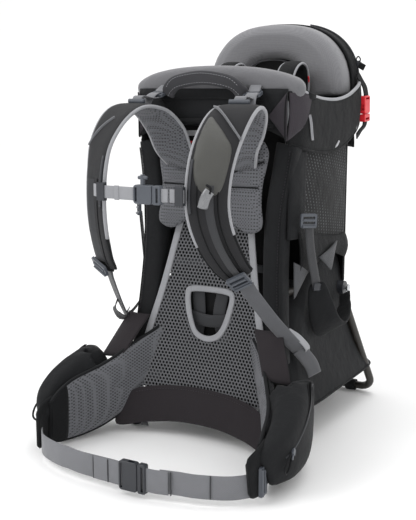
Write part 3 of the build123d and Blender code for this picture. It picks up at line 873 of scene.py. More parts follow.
def strap_frames(side):
    """(centre, width, normal away from the wearer, half width) down the strap."""
    stations = smooth(STRAP, 6)
    frames = frames_of([Vector(p[:3]) for p in stations], strap_turn)
    sign = 1 if frames[int(len(frames) * 0.6)][2].y < 0 else -1
    out = []
    for (centre, width, normal), station in zip(frames, stations):
        centre, normal = centre / 1000, normal * sign
        if side < 0:
            centre.x, normal.x = -centre.x, -normal.x
            width = Vector((width.x, -width.y, -width.z))
        out.append((centre, width, normal, station[3] / 1000))
    return out


STRAPS = {side: strap_frames(side) for side in (1, -1)}


def strap_station(side, t):
    """Centre, outward width, normal and half width at t along a strap."""
    frames = STRAPS[side]
    x = t * (len(frames) - 1)
    i = min(int(x), len(frames) - 2)
    (c0, w0, n0, h0), (c1, w1, n1, h1) = frames[i:i + 2]
    part = x - i
    return (c0.lerp(c1, part), w0.lerp(w1, part).normalized() * side,
            n0.lerp(n1, part).normalized(), h0 + (h1 - h0) * part)


def strap_point(side, t, u, off):
    """t along, u across (-1 inner edge, +1 outer edge), off metres along the normal."""
    centre, width, normal, half = strap_station(side, t)
    return centre + width * half * u + normal * off


def strap_line(side, start, span, count, u, off):
    return [to_mm(strap_point(side, start + span * t, u, off)) for t in steps(count)]


def cover_height(u):
    return COVER_THICK * max(0.0, 1 - abs(u) ** 5) ** 0.5


def strap_body(side, tag):
    """Mesh towards the wearer, cloth cover away from the wearer."""
    mesh_rings, cover_rings = [], []
    frames = STRAPS[side]
    across = [math.sin(math.pi / 2 * (q / 6)) for q in range(-6, 7)]
    flat = (0.6, 0, -0.6)
    for i, (c, w, n, h) in enumerate(frames):
        t = i / (len(frames) - 1)
        thick = 0.0085 * (1 if t < 0.85 else 1 - 2.5 * (t - 0.85))
        mesh_rings.append(
            [c + w * h * u - n * thick * max(0.02, 1 - abs(u) ** 3.2) ** 0.5 for u in across]
            + [c + w * h * u - n * 0.0003 for u in flat])
        cover_rings.append([c + w * h * u + n * (COVER_GAP + cover_height(u)) for u in across]
                           + [c + w * h * u + n * 0.0004 for u in flat])
    loft("strap_mesh_" + tag, mesh_rings, "spacer", "harness",
         replaces="shoulder_strap_" + SIDE_WORD[side])
    loft("strap_cover_" + tag, cover_rings[int(len(frames) * 0.10):], "strap", "harness")


def strap(side, tag):
    strap_body(side, tag)
    for u, edge in ((-1, "in"), (1, "out")):
        tube("strap_binding_%s_%s" % (tag, edge), strap_line(side, 0.02, 0.80, 24, u, 0.0004),
             0.0030, "binding", "harness", step=2)
        tube("strap_edge_%s_%s" % (tag, edge), strap_line(side, 0.82, 0.17, 6, u, 0.0004),
             0.0026, "black", "harness", step=2, slot="charcoal")
    for u, letter in ((-0.5, "a"), (0.5, "b")):
        seam("strap_seam_%s_%s" % (tag, letter),
             strap_line(side, 0.66, 0.30, 12, u, COVER_GAP + cover_height(u) + 0.0003),
             0.0011, "harness", step=2)
    # webbing laid across the cover: t, u
    if side > 0:
        line = [(0.405, -1.0), (0.43, -0.6), (0.46, -0.1), (0.49, 0.45), (0.515, 0.98)]
    else:
        line = [(0.47, -0.3), (0.49, 0.1), (0.515, 0.5), (0.545, 0.98)]
    points = [to_mm(strap_point(side, t, u, COVER_GAP + cover_height(u) + 0.0010))
              for t, u in line]
    ribbon("strap_cross_web_" + tag, points, (0.1 * side, -0.5, 1.0),
           0.0052 if side > 0 else 0.0028, 0.0018, "webbing", "harness")
    # webbing down the middle of the strap
    ribbon("strap_mid_web_" + tag,
           strap_line(side, 0.66, 0.30, 12, 0.0, COVER_GAP + COVER_THICK + 0.0012),
           ALONG_X, 0.0105, 0.0016, "webdark", "harness", slot="charcoal")
    # chest rail the sternum strap slides on
    tube("sternum_rail_" + tag, strap_line(side, 0.60, 0.13, 8, -0.86, COVER_GAP + 0.004),
         0.0022, "buckledark", "harness", step=2)
    points = strap_line(side, 0.955, 0.045, 4, 0.0, 0.004)
    points.append(to_mm(strap_point(side, 1.0, 0, 0.003) + Vector((0.002 * side, 0.004, -0.013))))
    ribbon("strap_tip_" + tag, points, ALONG_X, 0.0165, 0.005, "black", "harness",
           slot="charcoal")


both_sides(strap)

# pocket with its pull, on the right strap: 100 u, 100 t
POCKET = [(-78, 46.5), (-30, 48.5), (30, 51.5), (74, 54.5), (82, 60), (70, 66), (40, 68.5),
          (-10, 68.5), (-60, 66), (-84, 60), (-86, 52)]


def pocket_point(x, y, h):
    u = x / 100.0
    return strap_point(1, y / 100.0, u, COVER_GAP + cover_height(u) * 0.8 + h)


pillow("strap_pocket", POCKET, pocket_point, 0.006, 0.0, "softshell", "harness",
       seams=(((-60, 62), (60, 64.5), 1.2),), depth=0.002, rings=9, count=72)
tube("strap_pocket_pull", [(118, -252, 462), (113, -256, 452), (107, -254, 437)], 0.0080,
     "pull", "harness", sides=14, thick=0.0045)
tube("strap_pocket_pull_loop", [(112, -250, 470), (120, -253, 466), (119, -255, 458)], 0.0022,
     "black", "harness")

# yoke between the straps: x, z from the top middle round the +X half
YOKE_HALF = [(0, 466), (20, 480), (42, 500), (66, 522), (92, 524), (106, 506), (104, 480),
             (98, 450), (98, 415), (102, 390), (97, 375), (76, 368), (54, 378), (34, 394),
             (16, 402), (0, 404)]
YOKE = YOKE_HALF + [(-x, z) for x, z in reversed(YOKE_HALF[1:-1])]
YOKE_SEAMS = []
for side in (1, -1):
    YOKE_SEAMS += [((side * 22, 462), (side * 108, 492), 3.4),
                   ((side * 10, 444), (side * 100, 446), 3.4)]
YOKE_SEAMS.append(((0, 404), (0, 466), 3.0))


def yoke_point(x, z, h):
    bow = 0.00035 * x * x
    return Vector((x / 1000, (2 - 37 * 0.995 + (z - 445) * 0.1 - bow) / 1000 - h, z / 1000))


pillow("yoke", YOKE, yoke_point, 0.011, 0.004, "spacer", "harness", centre=(0, 446),
       seams=YOKE_SEAMS, depth=0.0065, replaces="yoke_pad", rings=26, count=220, power=6)
for i, (start, end, _) in enumerate(YOKE_SEAMS):
    points = [to_mm(yoke_point(start[0] + (end[0] - start[0]) * q / 12,
                               start[1] + (end[1] - start[1]) * q / 12, 0.0052))
              for q in range(1, 12)]
    seam("yoke_seam_%d" % i, points, 0.0011, "harness", step=2)


def load_lifter(side, tag):
    """Bar on the strap, webbing up to the buckle and on over the pad."""
    foot = strap_point(side, 0.345, -0.10, 0.0085)
    bar = strap_station(side, 0.345)[1] * 0.017
    width = (1, 0.1 * side, 0)
    tube("lifter_bar_" + tag, [to_mm(foot - bar), to_mm(foot), to_mm(foot + bar)], 0.0042,
         "buckle", "harness", sides=12, thick=0.0032)
    web = ribbon("lifter_web_" + tag, [to_mm(foot)] + mirror(side, [
        (96, -112, 596), (93, -84, 592.5), (90.5, -66, 594)]), width, 0.010, 0.0018, "webbing",
        replaces="load_lifter_webbing" if side > 0 else None)
    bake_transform(web)
    ribbon("lifter_anchor_" + tag, mirror(side, [
        (90, -58, 603), (88.5, -50, 609), (86, -40, 614), (82, -26, 614)]), width, 0.010,
        0.0018, "webbing", "frame")
    ribbon("lifter_tail_" + tag, mirror(side, [
        (93, -66, 601), (95, -78, 596), (98, -88, 582), (100, -90, 566)]), width, 0.010,
        0.0016, "webbing", "frame")


both_sides(load_lifter)


def lower_webbing(side, tag):
    """Shoulder webbing from the strap tip to the frame, darker on the left as painted shade."""
    # the left copy of the same webbing takes the darker webbing: painted shade
    material = "webmid" if side > 0 else "webdark"
    web = ribbon("shoulder_web_" + tag, mirror(side, [
        (131, -160, 308), (134, -150, 293), (148, -106, 243), (162, -60, 198),
        (169, -38, 178)]), (0.75 * side, 0.1, 0.62), 0.0125, 0.0018, material,
        replaces="shoulder_webbing" if side > 0 else None, slot="webbing_grey")
    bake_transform(web)
    ribbon("shoulder_web_end_" + tag, mirror(side, [
        (169, -38, 178), (173, -20, 162), (175, 2, 142), (174, 20, 120)]),
        (0.6 * side, 0.3, 0.62), 0.0125, 0.0016, material, "frame", slot="webbing_grey")
    ribbon("shoulder_web_keeper_" + tag, mirror(side, [
        (160, -60, 214), (172, -48, 202), (180, -30, 182), (172, -12, 168)]),
        (0.2 * side, 0.9, 0.3), 0.006, 0.002, "binding", "frame")


both_sides(lower_webbing)
# tail of the left webbing, also in the darker webbing as painted shade
ribbon("shoulder_web_tail_L", [
    (-126, -20, 340), (-134, -18, 306), (-143, -16, 268), (-149, -36, 228), (-156, -76, 204),
    (-160, -100, 222), (-158, -96, 240)], (0.5, -0.6, 0.5), 0.011, 0.0018, "webdark", "frame",
    slot="charcoal")

# -------------------------------------------------------------- sternum
STERNUM_Z = 452
# name, (x, y) points, thickness, body, marks
for name, points, thickness, body, marks in (
        ("web_L", [(-96, -243), (-84, -250), (-72, -258.4), (-40, -259.0), (-8, -260.5)],
         0.0018, "sternum_strap", {"replaces": "sternum_webbing"}),
        ("web_R", [(54, -258.8), (62, -258.4), (70, -258.2), (78, -258.0)],
         0.0018, "sternum_strap", {}),
        ("fold", [(36, -262.6), (44, -261.8), (51.5, -260.8)], 0.0016, "sternum_plug", {}),
        ("fold_L", [(-8, -262.6), (-26, -261.4), (-40, -260.6)], 0.0016, "sternum_strap", {}),
        ("keeper", [(-44, -261.2), (-40, -261.8), (-36, -261.2)], 0.0022, "sternum_strap",
         {"slot": None})):
    ribbon("sternum_" + name, [(x, y, STERNUM_Z) for x, y in points], ALONG_Z,
           0.0112 if name == "keeper" else 0.010, thickness, "weblight", body, **marks)
tube("sternum_whistle", [(8, -262, 466), (8, -262, 474), (8, -261.5, 482)], 0.0036, "buckle",
     "sternum_strap", sides=10)
tube("sternum_whistle_mouth", [(1, -262, 477), (10, -262, 478), (16, -262, 477)], 0.0028,
     "buckle", "sternum_strap", sides=10)

# ------------------------------------------------------------- top bar
DROOL_PATH = symmetric([(0, -23, 625), (40, -22, 624), (80, -20, 621), (114, -16, 615),
                        (135, -11, 608), (145, -5, 603), (150, 0, 598)])
HANDLE_PATH = symmetric([(0, -68, 626), (48, -67, 619), (66, -64, 607), (71, -60, 598)])


def drool_sleeve():
    """Padded sleeve over the top bar, narrowing at the ends."""
    frames = frames_of([from_mm(*p) for p in smooth(DROOL_PATH, 5)], ALONG_Y)
    section = oval(24, 0.7)
    rings = []
    for i, frame in enumerate(frames):
        end = abs(2 * i / (len(frames) - 1) - 1)
        taper = 1 - 0.62 * max(0, (end - 0.72) / 0.28) ** 1.8
        rings.append(oval_ring(frame, 0.0235 * taper, 0.0205 * taper, section))
    sleeve = loft("drool_sleeve", rings, "drool", replaces="drool_pad")
    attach(puff(sleeve, voxel=0.005, cap=0.004), "frame")


def grab_handle():
    points = [from_mm(*p) for p in smooth(HANDLE_PATH, 6)]
    lean = Vector((0, -0.35, 0.94))
    section = oval(16, 0.6)
    rings = [oval_ring(f, 0.0122, 0.0042, section) for f in frames_of(points, lean)]
    loft("handle_band", rings, "handle", "grab_handle", replaces="grab_handle")
    for letter, rise in (("a", 0.008), ("b", -0.008)):
        stitches("handle_stitch_" + letter,
                 [p + Vector((0, -0.0050, 0)) + lean * rise for p in points[4:-4]],
                 "binding", "grab_handle")


drool_sleeve()
grab_handle()


# panel under the top bar, on the wearer's side
def front_panel(u, v):
    x = -0.142 + 0.284 * u
    z = 0.548 + 0.060 * v - 0.022 * abs(2 * u - 1) ** 3 * (1 - v)
    return (x, -0.038 - 0.004 * math.sin(math.pi * v),
            z + 0.006 * (1 - (2 * u - 1) ** 2) * (1 - v))


sheet("front_panel", front_panel, 20, 8, 0.003, "charcoal", "frame")
tube("front_panel_hem", symmetric([(0, -42, 555), (60, -42, 553), (118, -41, 549)]), 0.0045,
     "black", "frame")
seam("front_panel_seam", symmetric([(0, -46, 592), (50, -46, 591), (100, -45, 588)]), 0.0011,
     "frame")
both_sides(lambda side, tag: seam(
    "front_panel_fold_" + tag,
    mirror(side, [(100, -44, 600), (86, -46, 580), (66, -45, 556)]), 0.0013, "frame"))
# front wall inside the pack; its colour is the painted-shade cloth, darker than its own black
sheet("front_wall_cloth",
      lambda u, v: (-0.106 + 0.212 * u, -0.006 + 0.042 * v, 0.215 + 0.345 * v),
      16, 24, 0.003, "shadow", "frame", replaces="front_wall")
ribbon("care_label", [(-64, -12, 531), (-48, -13, 532), (-31, -13, 532)], ALONG_Z, 0.0045,
       0.001, "label", "frame")
ribbon("care_label_b", [(-64, -10, 516), (-50, -11, 516), (-38, -11, 516)], ALONG_Z, 0.002,
       0.001, "red", "frame")

# centre line of the padded sleeves on the uprights
UPRIGHT = [(133, -46, 150), (130, -44, 176), (126, -37, 210), (119, -26, 310), (119, -19, 400),
           (128, -14, 470), (133, -13, 505), (135, -12, 516)]


def upright_sleeve(side, tag):
    points = [from_mm(side * x, y, z) for x, y, z in smooth(UPRIGHT, 5)]
    section = oval(20, 0.55)
    rings = [oval_ring(f, 0.0195, 0.0195, section) for f in frames_of(points, ALONG_X)]
    loft("upright_sleeve_" + tag, rings, "charcoal", "frame",
         replaces="frame_sleeves" if side > 0 else None)
    line = [to_mm(p + Vector((side * 0.0150, -0.0205, 0))) for p in points[3:-3]]
    seam("sleeve_seam_" + tag, line[::3], 0.0012, "frame")
    stitches("sleeve_stitch_" + tag,
             [p + Vector((side * 0.0115, -0.0206, 0)) for p in points[3:-3]],
             "gusset", "frame")


both_sides(upright_sleeve)


# ----------------------------------------------------------- headrest
def arch_point(half, top, low, bend, angle):
    """x, z on a superellipse arch standing on z = low; a higher bend is squarer."""
    power = 2 / bend
    return (half * signed_power(math.cos(angle), power),
            low + (top - low) * abs(math.sin(angle)) ** power)


def arch(half, top, low, bend, count):
    return [arch_point(half, top, low, bend, math.pi * i / count) for i in range(count + 1)]


def headrest():
    rings = []
    for (ox, oz), (ix, iz) in zip(arch(144, 727, 598, 2.5, 56), arch(67, 658, 592, 2.4, 56)):
        ring = []
        for across, through in oval(28, 0.42, 0.55):
            k = 0.5 + 0.5 * across
            # the -Y face slopes back towards the cut-out
            y = 226 + 31 * through + (9 * (1 - k) if through < 0 else 0)
            ring.append(from_mm(ix + (ox - ix) * k, y, iz + (oz - iz) * k))
        rings.append(ring)
    pad = loft("headrest_pad", rings, "head", replaces="headrest")
    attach(puff(pad, voxel=0.006, cap=0.004), "frame")


headrest()
# seam lines round the back edge and round the cut-out
for tag, half, top, bend, y in (("back", 142.5, 726, 2.5, 246), ("inner", 69.5, 660.5, 2.4, 201)):
    tube("headrest_seam_" + tag, [(x, y, z) for x, z in arch(half, top, 594, bend, 20)],
         0.0012, "handle", "frame", sides=6, step=3, slot=None)
# sheet in the painted-shade colour behind the cut-out: painted shade seen through it
sheet("headrest_recess", lambda u, v: (
    0.084 * math.cos(math.pi * u), 0.222 - 0.004 * v,
    0.560 + 0.118 * v * (0.25 + 0.75 * math.sin(math.pi * u) ** 0.7)),
    24, 10, 0.003, "shadow", "frame")

# ---------------------------------------------------------- child seat
CHILD_PAD = [(44, 184, 470), (56, 190, 560), (61, 191, 612), (62, 182, 642), (63, 160, 653),
             (64, 130, 644), (63, 108, 612), (58, 104, 562), (52, 108, 500)]
CHILD_PAD_HALF = 0.0165


def child_pad(side, tag):
    """Harness pad with light piping."""
    frames = frames_of([from_mm(*p) for p in smooth(mirror(side, CHILD_PAD), 6)], ALONG_X)
    section = oval(16, 0.7, 1)
    loft("child_pad_" + tag, [oval_ring(f, CHILD_PAD_HALF, 0.0045, section) for f in frames],
         "black", "child_seat", replaces="child_harness_pads" if side > 0 else None,
         slot="charcoal")
    for edge, letter in ((-1, "a"), (1, "b")):
        points = [to_mm(c + w * CHILD_PAD_HALF * edge) for c, w, _ in frames[::3]]
        tube("child_pad_piping_" + tag + letter, points, 0.0022, "binding", "child_seat",
             sides=6, step=2, slot=None)


both_sides(child_pad)
ribbon("child_pad_tab", [(80, 186, 620), (80.5, 184, 625), (81, 181, 630)], (0, 1, 0.2),
       0.0022, 0.0016, "red", "child_seat")
tube("child_harness_clip", [(-18, 108, 502), (0, 106, 502), (18, 108, 502)], 0.009,
     "buckledark", "child_seat", sides=12, thick=0.005)

# x, y
SEAT = [(-88, 56), (-60, 52), (60, 52), (88, 56), (92, 100), (92, 150), (84, 184), (40, 188),
        (-40, 188), (-84, 184), (-92, 150), (-92, 100)]
# x, z
SEAT_BACK = [(-80, 240), (0, 236), (80, 240), (84, 300), (84, 480), (70, 536), (0, 540),
             (-70, 536), (-84, 480), (-84, 300)]
cushion = pillow("seat_cushion", SEAT, lambda x, y, h: Vector((x / 1000, y / 1000, 0.239 + h)),
                 0.008, 0.006, "charcoal", replaces="seat_saddle", power=5)
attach(puff(cushion, voxel=0.006, cap=0.004), "child_seat")
pillow("seat_back_pad", SEAT_BACK, lambda x, z, h: Vector((x / 1000, 0.1945 - h, z / 1000)),
       0.0065, 0.005, "black", "child_seat", centre=(0, 390),
       seams=(((-80, 340), (80, 340), 3), ((-80, 440), (80, 440), 3)), depth=0.004, rings=20,
       count=140, power=6, replaces="seat_backrest", slot="charcoal")

# ---------------------------------------------------------- cockpit shell
# y, z along the top rim and the lower edge of the side walls
RIM = smooth([(-34, 604), (-12, 603), (20, 597), (70, 590), (130, 588), (185, 594), (225, 606),
              (262, 622)], 6)
LOW_EDGE = smooth([(-34, 520), (-10, 512), (25, 505), (80, 500), (140, 502), (195, 516),
                   (236, 536), (266, 566)], 6)


def row_at(rows, u):
    x = u * (len(rows) - 1)
    i = int(min(x, len(rows) - 2))
    t = x - i
    return [a * (1 - t) + b * t for a, b in zip(rows[i], rows[i + 1])]


def wall_x(y, v):
    """Half width of the cockpit, bulged and rounded in at the -Y corner."""
    x = 156 + 3.0 * math.sin(math.pi * v)
    return x - 0.0085 * (8 - y) ** 2 if y < 8 else x


def cockpit_side(side, tag):
    def wall(u, v):
        rim_y, rim_z = row_at(RIM, u)
        low_y, low_z = row_at(LOW_EDGE, u)
        y, z = low_y + (rim_y - low_y) * v, low_z + (rim_z - low_z) * v
        x = wall_x(y, v)
        if y > 235:
            x -= 0.010 * (y - 235) ** 2
        return (side * x / 1000, y / 1000, z / 1000)

    sheet("cockpit_side_" + tag, wall, 48, 12, 0.0045, "black", "frame",
          replaces="cockpit_walls" if side > 0 else None, slot="charcoal")
    tube("cockpit_piping_" + tag,
         surface_line(wall, [(0.14 + 0.86 * t, 1.0) for t in steps(24)], (0, 0, 0.0012)),
         0.0032, "binding", "frame", step=2)
    tube("cockpit_hem_" + tag,
         surface_line(wall, [(t, 0.0) for t in steps(20)], (side * 0.001, 0, 0)),
         0.0026, "black", "frame", step=2)


def corner_gusset(side, tag):
    """Panels and folds round the -Y corner of the cockpit."""
    off = 2.8

    def gusset(u, v):
        y = (-34 + 58 * u) * (1 - v) + (-38 + 26 * u) * v
        z = (602 - 5 * u) * (1 - v) + (524 + 22 * u) * v
        x = wall_x(y, max(0, min(1, (z - 516) / 82))) + off
        return Vector((side * x, y - off * (1 if y < -20 else 0.3), z)) / 1000

    def gusset_front(u, v):
        top, low = 566 + 36 * u, 562 - 36 * u
        return (side * (112 + 31 * u) / 1000, -0.0445, (low + (top - low) * v) / 1000)

    sheet("corner_gusset_" + tag, gusset, 12, 10, 0.0016, "gusset", "frame")
    sheet("corner_gusset_front_" + tag, gusset_front, 8, 6, 0.0016, "gusset", "frame")
    seam("gusset_fold_" + tag,
         surface_line(gusset, [(0.98, 0.02), (0.99, 0.5), (0.98, 0.98)]), 0.0013, "frame")
    seam("gusset_fold_b_" + tag,
         mirror(side, [(143, -44, 602), (141, -46, 575), (141, -45, 524)]), 0.0013, "frame")


def corner_trim(side, tag):
    """Cords and a tab on the side wall."""
    for letter, dy in (("a", 0), ("b", 5)):
        tube("corner_cord_" + tag + letter, mirror(side, [
            (161, 4 + dy, 566), (164, 4 + dy, 552), (163, 10 + dy, 536), (161, 18 + dy, 524)]),
            0.0014, "binding", "frame", slot=None)
    ribbon("corner_tab_" + tag,
           mirror(side, [(154, 4, 602), (160, 8, 597), (162, 20, 595), (161, 30, 594)]),
           (0, 0.2, 1), 0.005, 0.002, "black", "frame")
    tube("side_cord_a_" + tag, mirror(side, [
        (157, 128, 505), (161, 132, 512), (160, 140, 516), (157, 136, 506)]), 0.0016, "cord",
        "frame")
    tube("side_cord_b_" + tag, mirror(side, [
        (152, 226, 556), (157, 232, 542), (156, 226, 528), (153, 216, 520), (155, 224, 534)]),
        0.0020, "cord", "frame")


def cockpit_wall(side, tag):
    cockpit_side(side, tag)
    corner_gusset(side, tag)
    corner_trim(side, tag)


both_sides(cockpit_wall)
# webbing above and below the release buckle, on the right only
for name, points, body in (
        ("top", [(148, 256, 634), (154, 260, 622), (160, 263, 610), (163.5, 263, 594)],
         "frame"),
        ("low", [(163.5, 262, 552), (162, 260, 540), (157, 254, 530), (153, 246, 520)],
         "cockpit_plug")):
    ribbon("side_release_web_%s_R" % name, points, (0.0, 1.0, 0.1), 0.0105, 0.0024, "black",
           body, slot="charcoal")


def rear_shell(u, v):
    """Wraps from wall to wall behind the headrest."""
    a = math.pi * u
    return (0.150 * math.cos(a) * (1 - 0.12 * v * v),
            0.236 + 0.058 * math.sin(a) * (0.75 + 0.25 * v),
            0.500 + 0.115 * v + 0.05 * v * math.sin(a) ** 2)


sheet("cockpit_rear_shell", rear_shell, 40, 10, 0.004, "black", "frame", slot="charcoal")
tube("cockpit_rear_piping",
     surface_line(rear_shell, [(t, 1.0) for t in steps(24)], (0, 0, 0.001)),
     0.003, "binding", "frame", step=2)

# x, z
POUCH = [(-104, 522), (0, 518), (104, 522), (114, 590), (100, 634), (52, 656), (0, 659),
         (-52, 656), (-100, 634), (-114, 590)]


def sunshade_point(x, z, h):
    bulge = max(0.0, 1 - (x / 118.0) ** 2)
    return Vector((x / 1000, 0.290 + 0.012 * bulge + h, z / 1000))


def hood_skin(u, v):
    inner_x, inner_z = arch_point(126, 712, 600, 2.5, math.pi * u)
    outer_x, outer_z = arch_point(144.5, 727.0, 600, 2.5, math.pi * u)
    return ((inner_x + (outer_x - inner_x) * v) / 1000, 0.246 + 0.003 * v,
            (inner_z + (outer_z - inner_z) * v) / 1000)


pouch = pillow("sunshade_pouch", POUCH, sunshade_point, 0.012, 0.010, "charcoal",
               centre=(0, 585), replaces="sunshade_pocket", power=4, rings=16, count=140)
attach(puff(pouch, voxel=0.006, cap=0.005), "frame")
ribbon("hood_edge", [(x, 256, z) for x, z in arch(144.0, 726.5, 600, 2.5, 40)], ALONG_Y,
       0.0185, 0.0042, "black", "frame", step=2, slot="charcoal")
sheet("hood_skin", hood_skin, 60, 4, 0.002, "black", "frame", slot="charcoal")
tube("sunshade_zip_track",
     [(x * 1.012, 266, z + 1.5) for x, z in arch(146.5, 728.5, 600, 2.5, 40)[2:18]],
     0.0016, "buckledark", "frame", sides=6, step=2)


def sunshade_pull():
    """Ring and tag on the zip pull, 19 degrees up the hood."""
    angle = math.radians(19)
    pull_x, pull_z = 159 * math.cos(angle), 602 + 159 * math.sin(angle)
    # x, y, z about the pull
    ring = [(-1, 260, 2), (1, 259, 8), (-3, 258, 13), (-7, 259, 8), (-4, 260, 2), (-1, 260, 2)]
    tube("sunshade_pull_ring", [(pull_x + x, y, pull_z + z) for x, y, z in ring], 0.0012,
         "black", "sunshade_zip")
    corners = [from_mm(pull_x + x, 259, pull_z + z)
               for x, z in ((1, 3), (12, -3), (7, -13), (-4, -7))]
    sheet("sunshade_tag", lambda u, v: corner_patch(corners, u, v), 4, 4, 0.0022, "black",
          "sunshade_zip", slot="charcoal")


sunshade_pull()
sheet("cockpit_back_cloth", lambda u, v: (
    -0.132 + 0.264 * u, 0.211 + 0.006 * math.sin(math.pi * v), 0.262 + 0.335 * v),
    14, 18, 0.004, "black", "frame", replaces="cockpit_back", slot="charcoal")

# x, z
REAR_PANEL = [(-120, 240), (0, 236), (120, 240), (126, 360), (126, 490), (112, 515), (0, 518),
              (-112, 515), (-126, 490), (-126, 360)]


def rear_point(x, z, h):
    return Vector((x / 1000, 0.229 + 0.004 * math.cos(x / 60) + h, z / 1000))


rear_panel = pillow(
    "rear_panel_cloth", REAR_PANEL, rear_point, 0.010, 0.006, "charcoal", centre=(0, 375),
    replaces="rear_panel", power=6, rings=18, count=140, depth=0.004,
    seams=(((-124, 420), (124, 420), 3), ((-60, 240), (-70, 420), 3),
           ((60, 240), (70, 420), 3)))
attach(puff(rear_panel, voxel=0.006, cap=0.005), "frame")


def side_panels(side, tag):
    def stretch_mesh(u, v):
        low = 374 - 34 * math.sin(math.pi * 0.5 * u)
        z = low + (512 + 6 * u - low) * v
        x = 147 + 6 * math.sin(math.pi * v) * math.sin(math.pi * u)
        return (side * x / 1000, (-6 + 214 * u + 6 * v) / 1000, z / 1000)

    def strip(u, v):
        x = 139 + 11 * math.sqrt(min(1, u * 1.6 + 0.02)) + 1.5 * v
        return (side * x / 1000, (-30 + 46 * u) / 1000, (360 + 152 * v) / 1000)

    def rear_corner(u, v):
        a = math.pi / 2 * u
        x = 148 - 26 * (1 - math.cos(a))
        return (side * x / 1000, (206 + 26 * math.sin(a)) / 1000, (250 + 262 * v) / 1000)

    sheet("side_mesh_" + tag, stretch_mesh, 24, 18, 0.003, "side", "frame",
          replaces="side_mesh_panels" if side > 0 else None)
    tube("side_mesh_hem_" + tag,
         surface_line(stretch_mesh, [(t, 0) for t in steps(16)], (side * 0.001, 0, 0)),
         0.0030, "black", "frame", step=2)
    # strip next to the upright
    sheet("side_strip_" + tag, strip, 8, 16, 0.003, "charcoal", "frame")
    stitches("side_strip_stitch_" + tag,
             [Vector(strip(0.93, t)) + Vector((side * 0.002, 0, 0)) for t in steps(20)],
             "gusset", "frame")
    sheet("rear_corner_" + tag, rear_corner, 8, 16, 0.003, "charcoal", "frame")


both_sides(side_panels)

# ------------------------------------------------------ base compartment
# z, least y, greatest y, half width in x; the bag flares over the kickstand
BAG = [(318, 150, 226, 118), (300, 110, 232, 130), (262, 44, 240, 141), (232, 4, 246, 147),
       (196, -18, 258, 147), (160, -28, 274, 150), (120, -32, 296, 157), (90, -30, 316, 166),
       (66, -24, 333, 176)]
# the hem turns in, up to the floor of the compartment
BAG_FLOOR = [(62, -20, 328, 171), (72, 0, 300, 150), (74, 60, 220, 80)]


def follow_kickstand(obj):
    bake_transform(obj)


def bag_point(station, angle):
    z, y0, y1, half = station
    return (half * signed_power(math.cos(angle), 0.22),
            (y0 + y1) / 2 + (y1 - y0) / 2 * signed_power(math.sin(angle), 0.22), z)


def bag_ring(station, folds):
    """Squared ring of 64 points; folds adds the light folds that hang from the top."""
    ring = []
    for q in range(64):
        angle = 2 * math.pi * q / 64
        x, y, z = bag_point(station, angle)
        if folds and abs(math.cos(angle)) > 0.3:
            x += math.copysign(
                1.6 * math.sin(9 * angle + z * 0.02) * min(1, (318 - z) / 120), x)
        ring.append(from_mm(x, y, z))
    return ring


def base_bag():
    rings = [bag_ring(station, True) for station in smooth(BAG, 4)]
    rings += [bag_ring(station, False) for station in BAG_FLOOR]
    bag = loft("base_bag", rings, "charcoal", replaces="base_compartment")
    # open above the floor of the seat, where the child sits
    bm = bmesh.new()
    bm.from_mesh(bag.data)
    opening = []
    for face in bm.faces:
        c = face.calc_center_median()
        if c.z > 0.317 or (c.z > 0.236 and abs(c.x) < 0.112 and c.y < 0.195):
            opening.append(face)
    bmesh.ops.delete(bm, geom=opening, context="FACES")
    bm.to_mesh(bag.data)
    bm.free()
    follow_kickstand(bag)


def base_seams(side, tag):
    degrees = (-86, -70, -45, -20, -3, -0.1, 0.1, 3, 20, 45, 70, 86)
    hem = [bag_point(BAG[-1], math.radians(d)) for d in degrees]
    follow_kickstand(tube("base_hem_" + tag, mirror(side, hem), 0.0026, "black", step=4))
    stations = smooth(BAG[1:-1] + [(68, -24, 331, 175)], 4)
    points = [bag_point(station, math.radians(45)) for station in stations[::4]]
    follow_kickstand(tube("base_rear_seam_" + tag, mirror(side, points), 0.0020, "black"))


base_bag()
both_sides(base_seams)
follow_kickstand(tube("base_zip", symmetric([(0, 284, 164), (60, 283, 165), (120, 280, 168)]),
                      0.0024, "black"))


def side_wing(side, tag):
    """Cloth over the leg opening, from the upright back to the rear corner, and its flaps."""
    def wing(u, v):
        top = 372 - 30 * math.sin(math.pi / 2 * u)
        z = top - (top - (322 - 66 * abs(u - 0.62))) * v
        return (side * (0.150 + 0.006 * math.sin(math.pi * v)), (-8 + 214 * u) / 1000, z / 1000)

    sheet("side_wing_" + tag, wing, 20, 6, 0.003, "black", "frame", slot="charcoal")
    for letter, corners in (("a", [(158, 66, 318), (161, 140, 338), (160, 118, 286)]),
                            ("b", [(150, -22, 322), (157, 20, 300), (150, -20, 258)])):
        a, b, c = [from_mm(*p) for p in mirror(side, corners)]

        def flap(u, v):
            bulge = side * 0.003 * math.sin(math.pi * u) * (1 - v)
            return a.lerp(b, u).lerp(c, v) + Vector((bulge, 0, 0))

        sheet("wing_flap_%s_%s" % (letter, tag), flap, 8, 8, 0.002, "greyflap", "frame")


both_sides(side_wing)


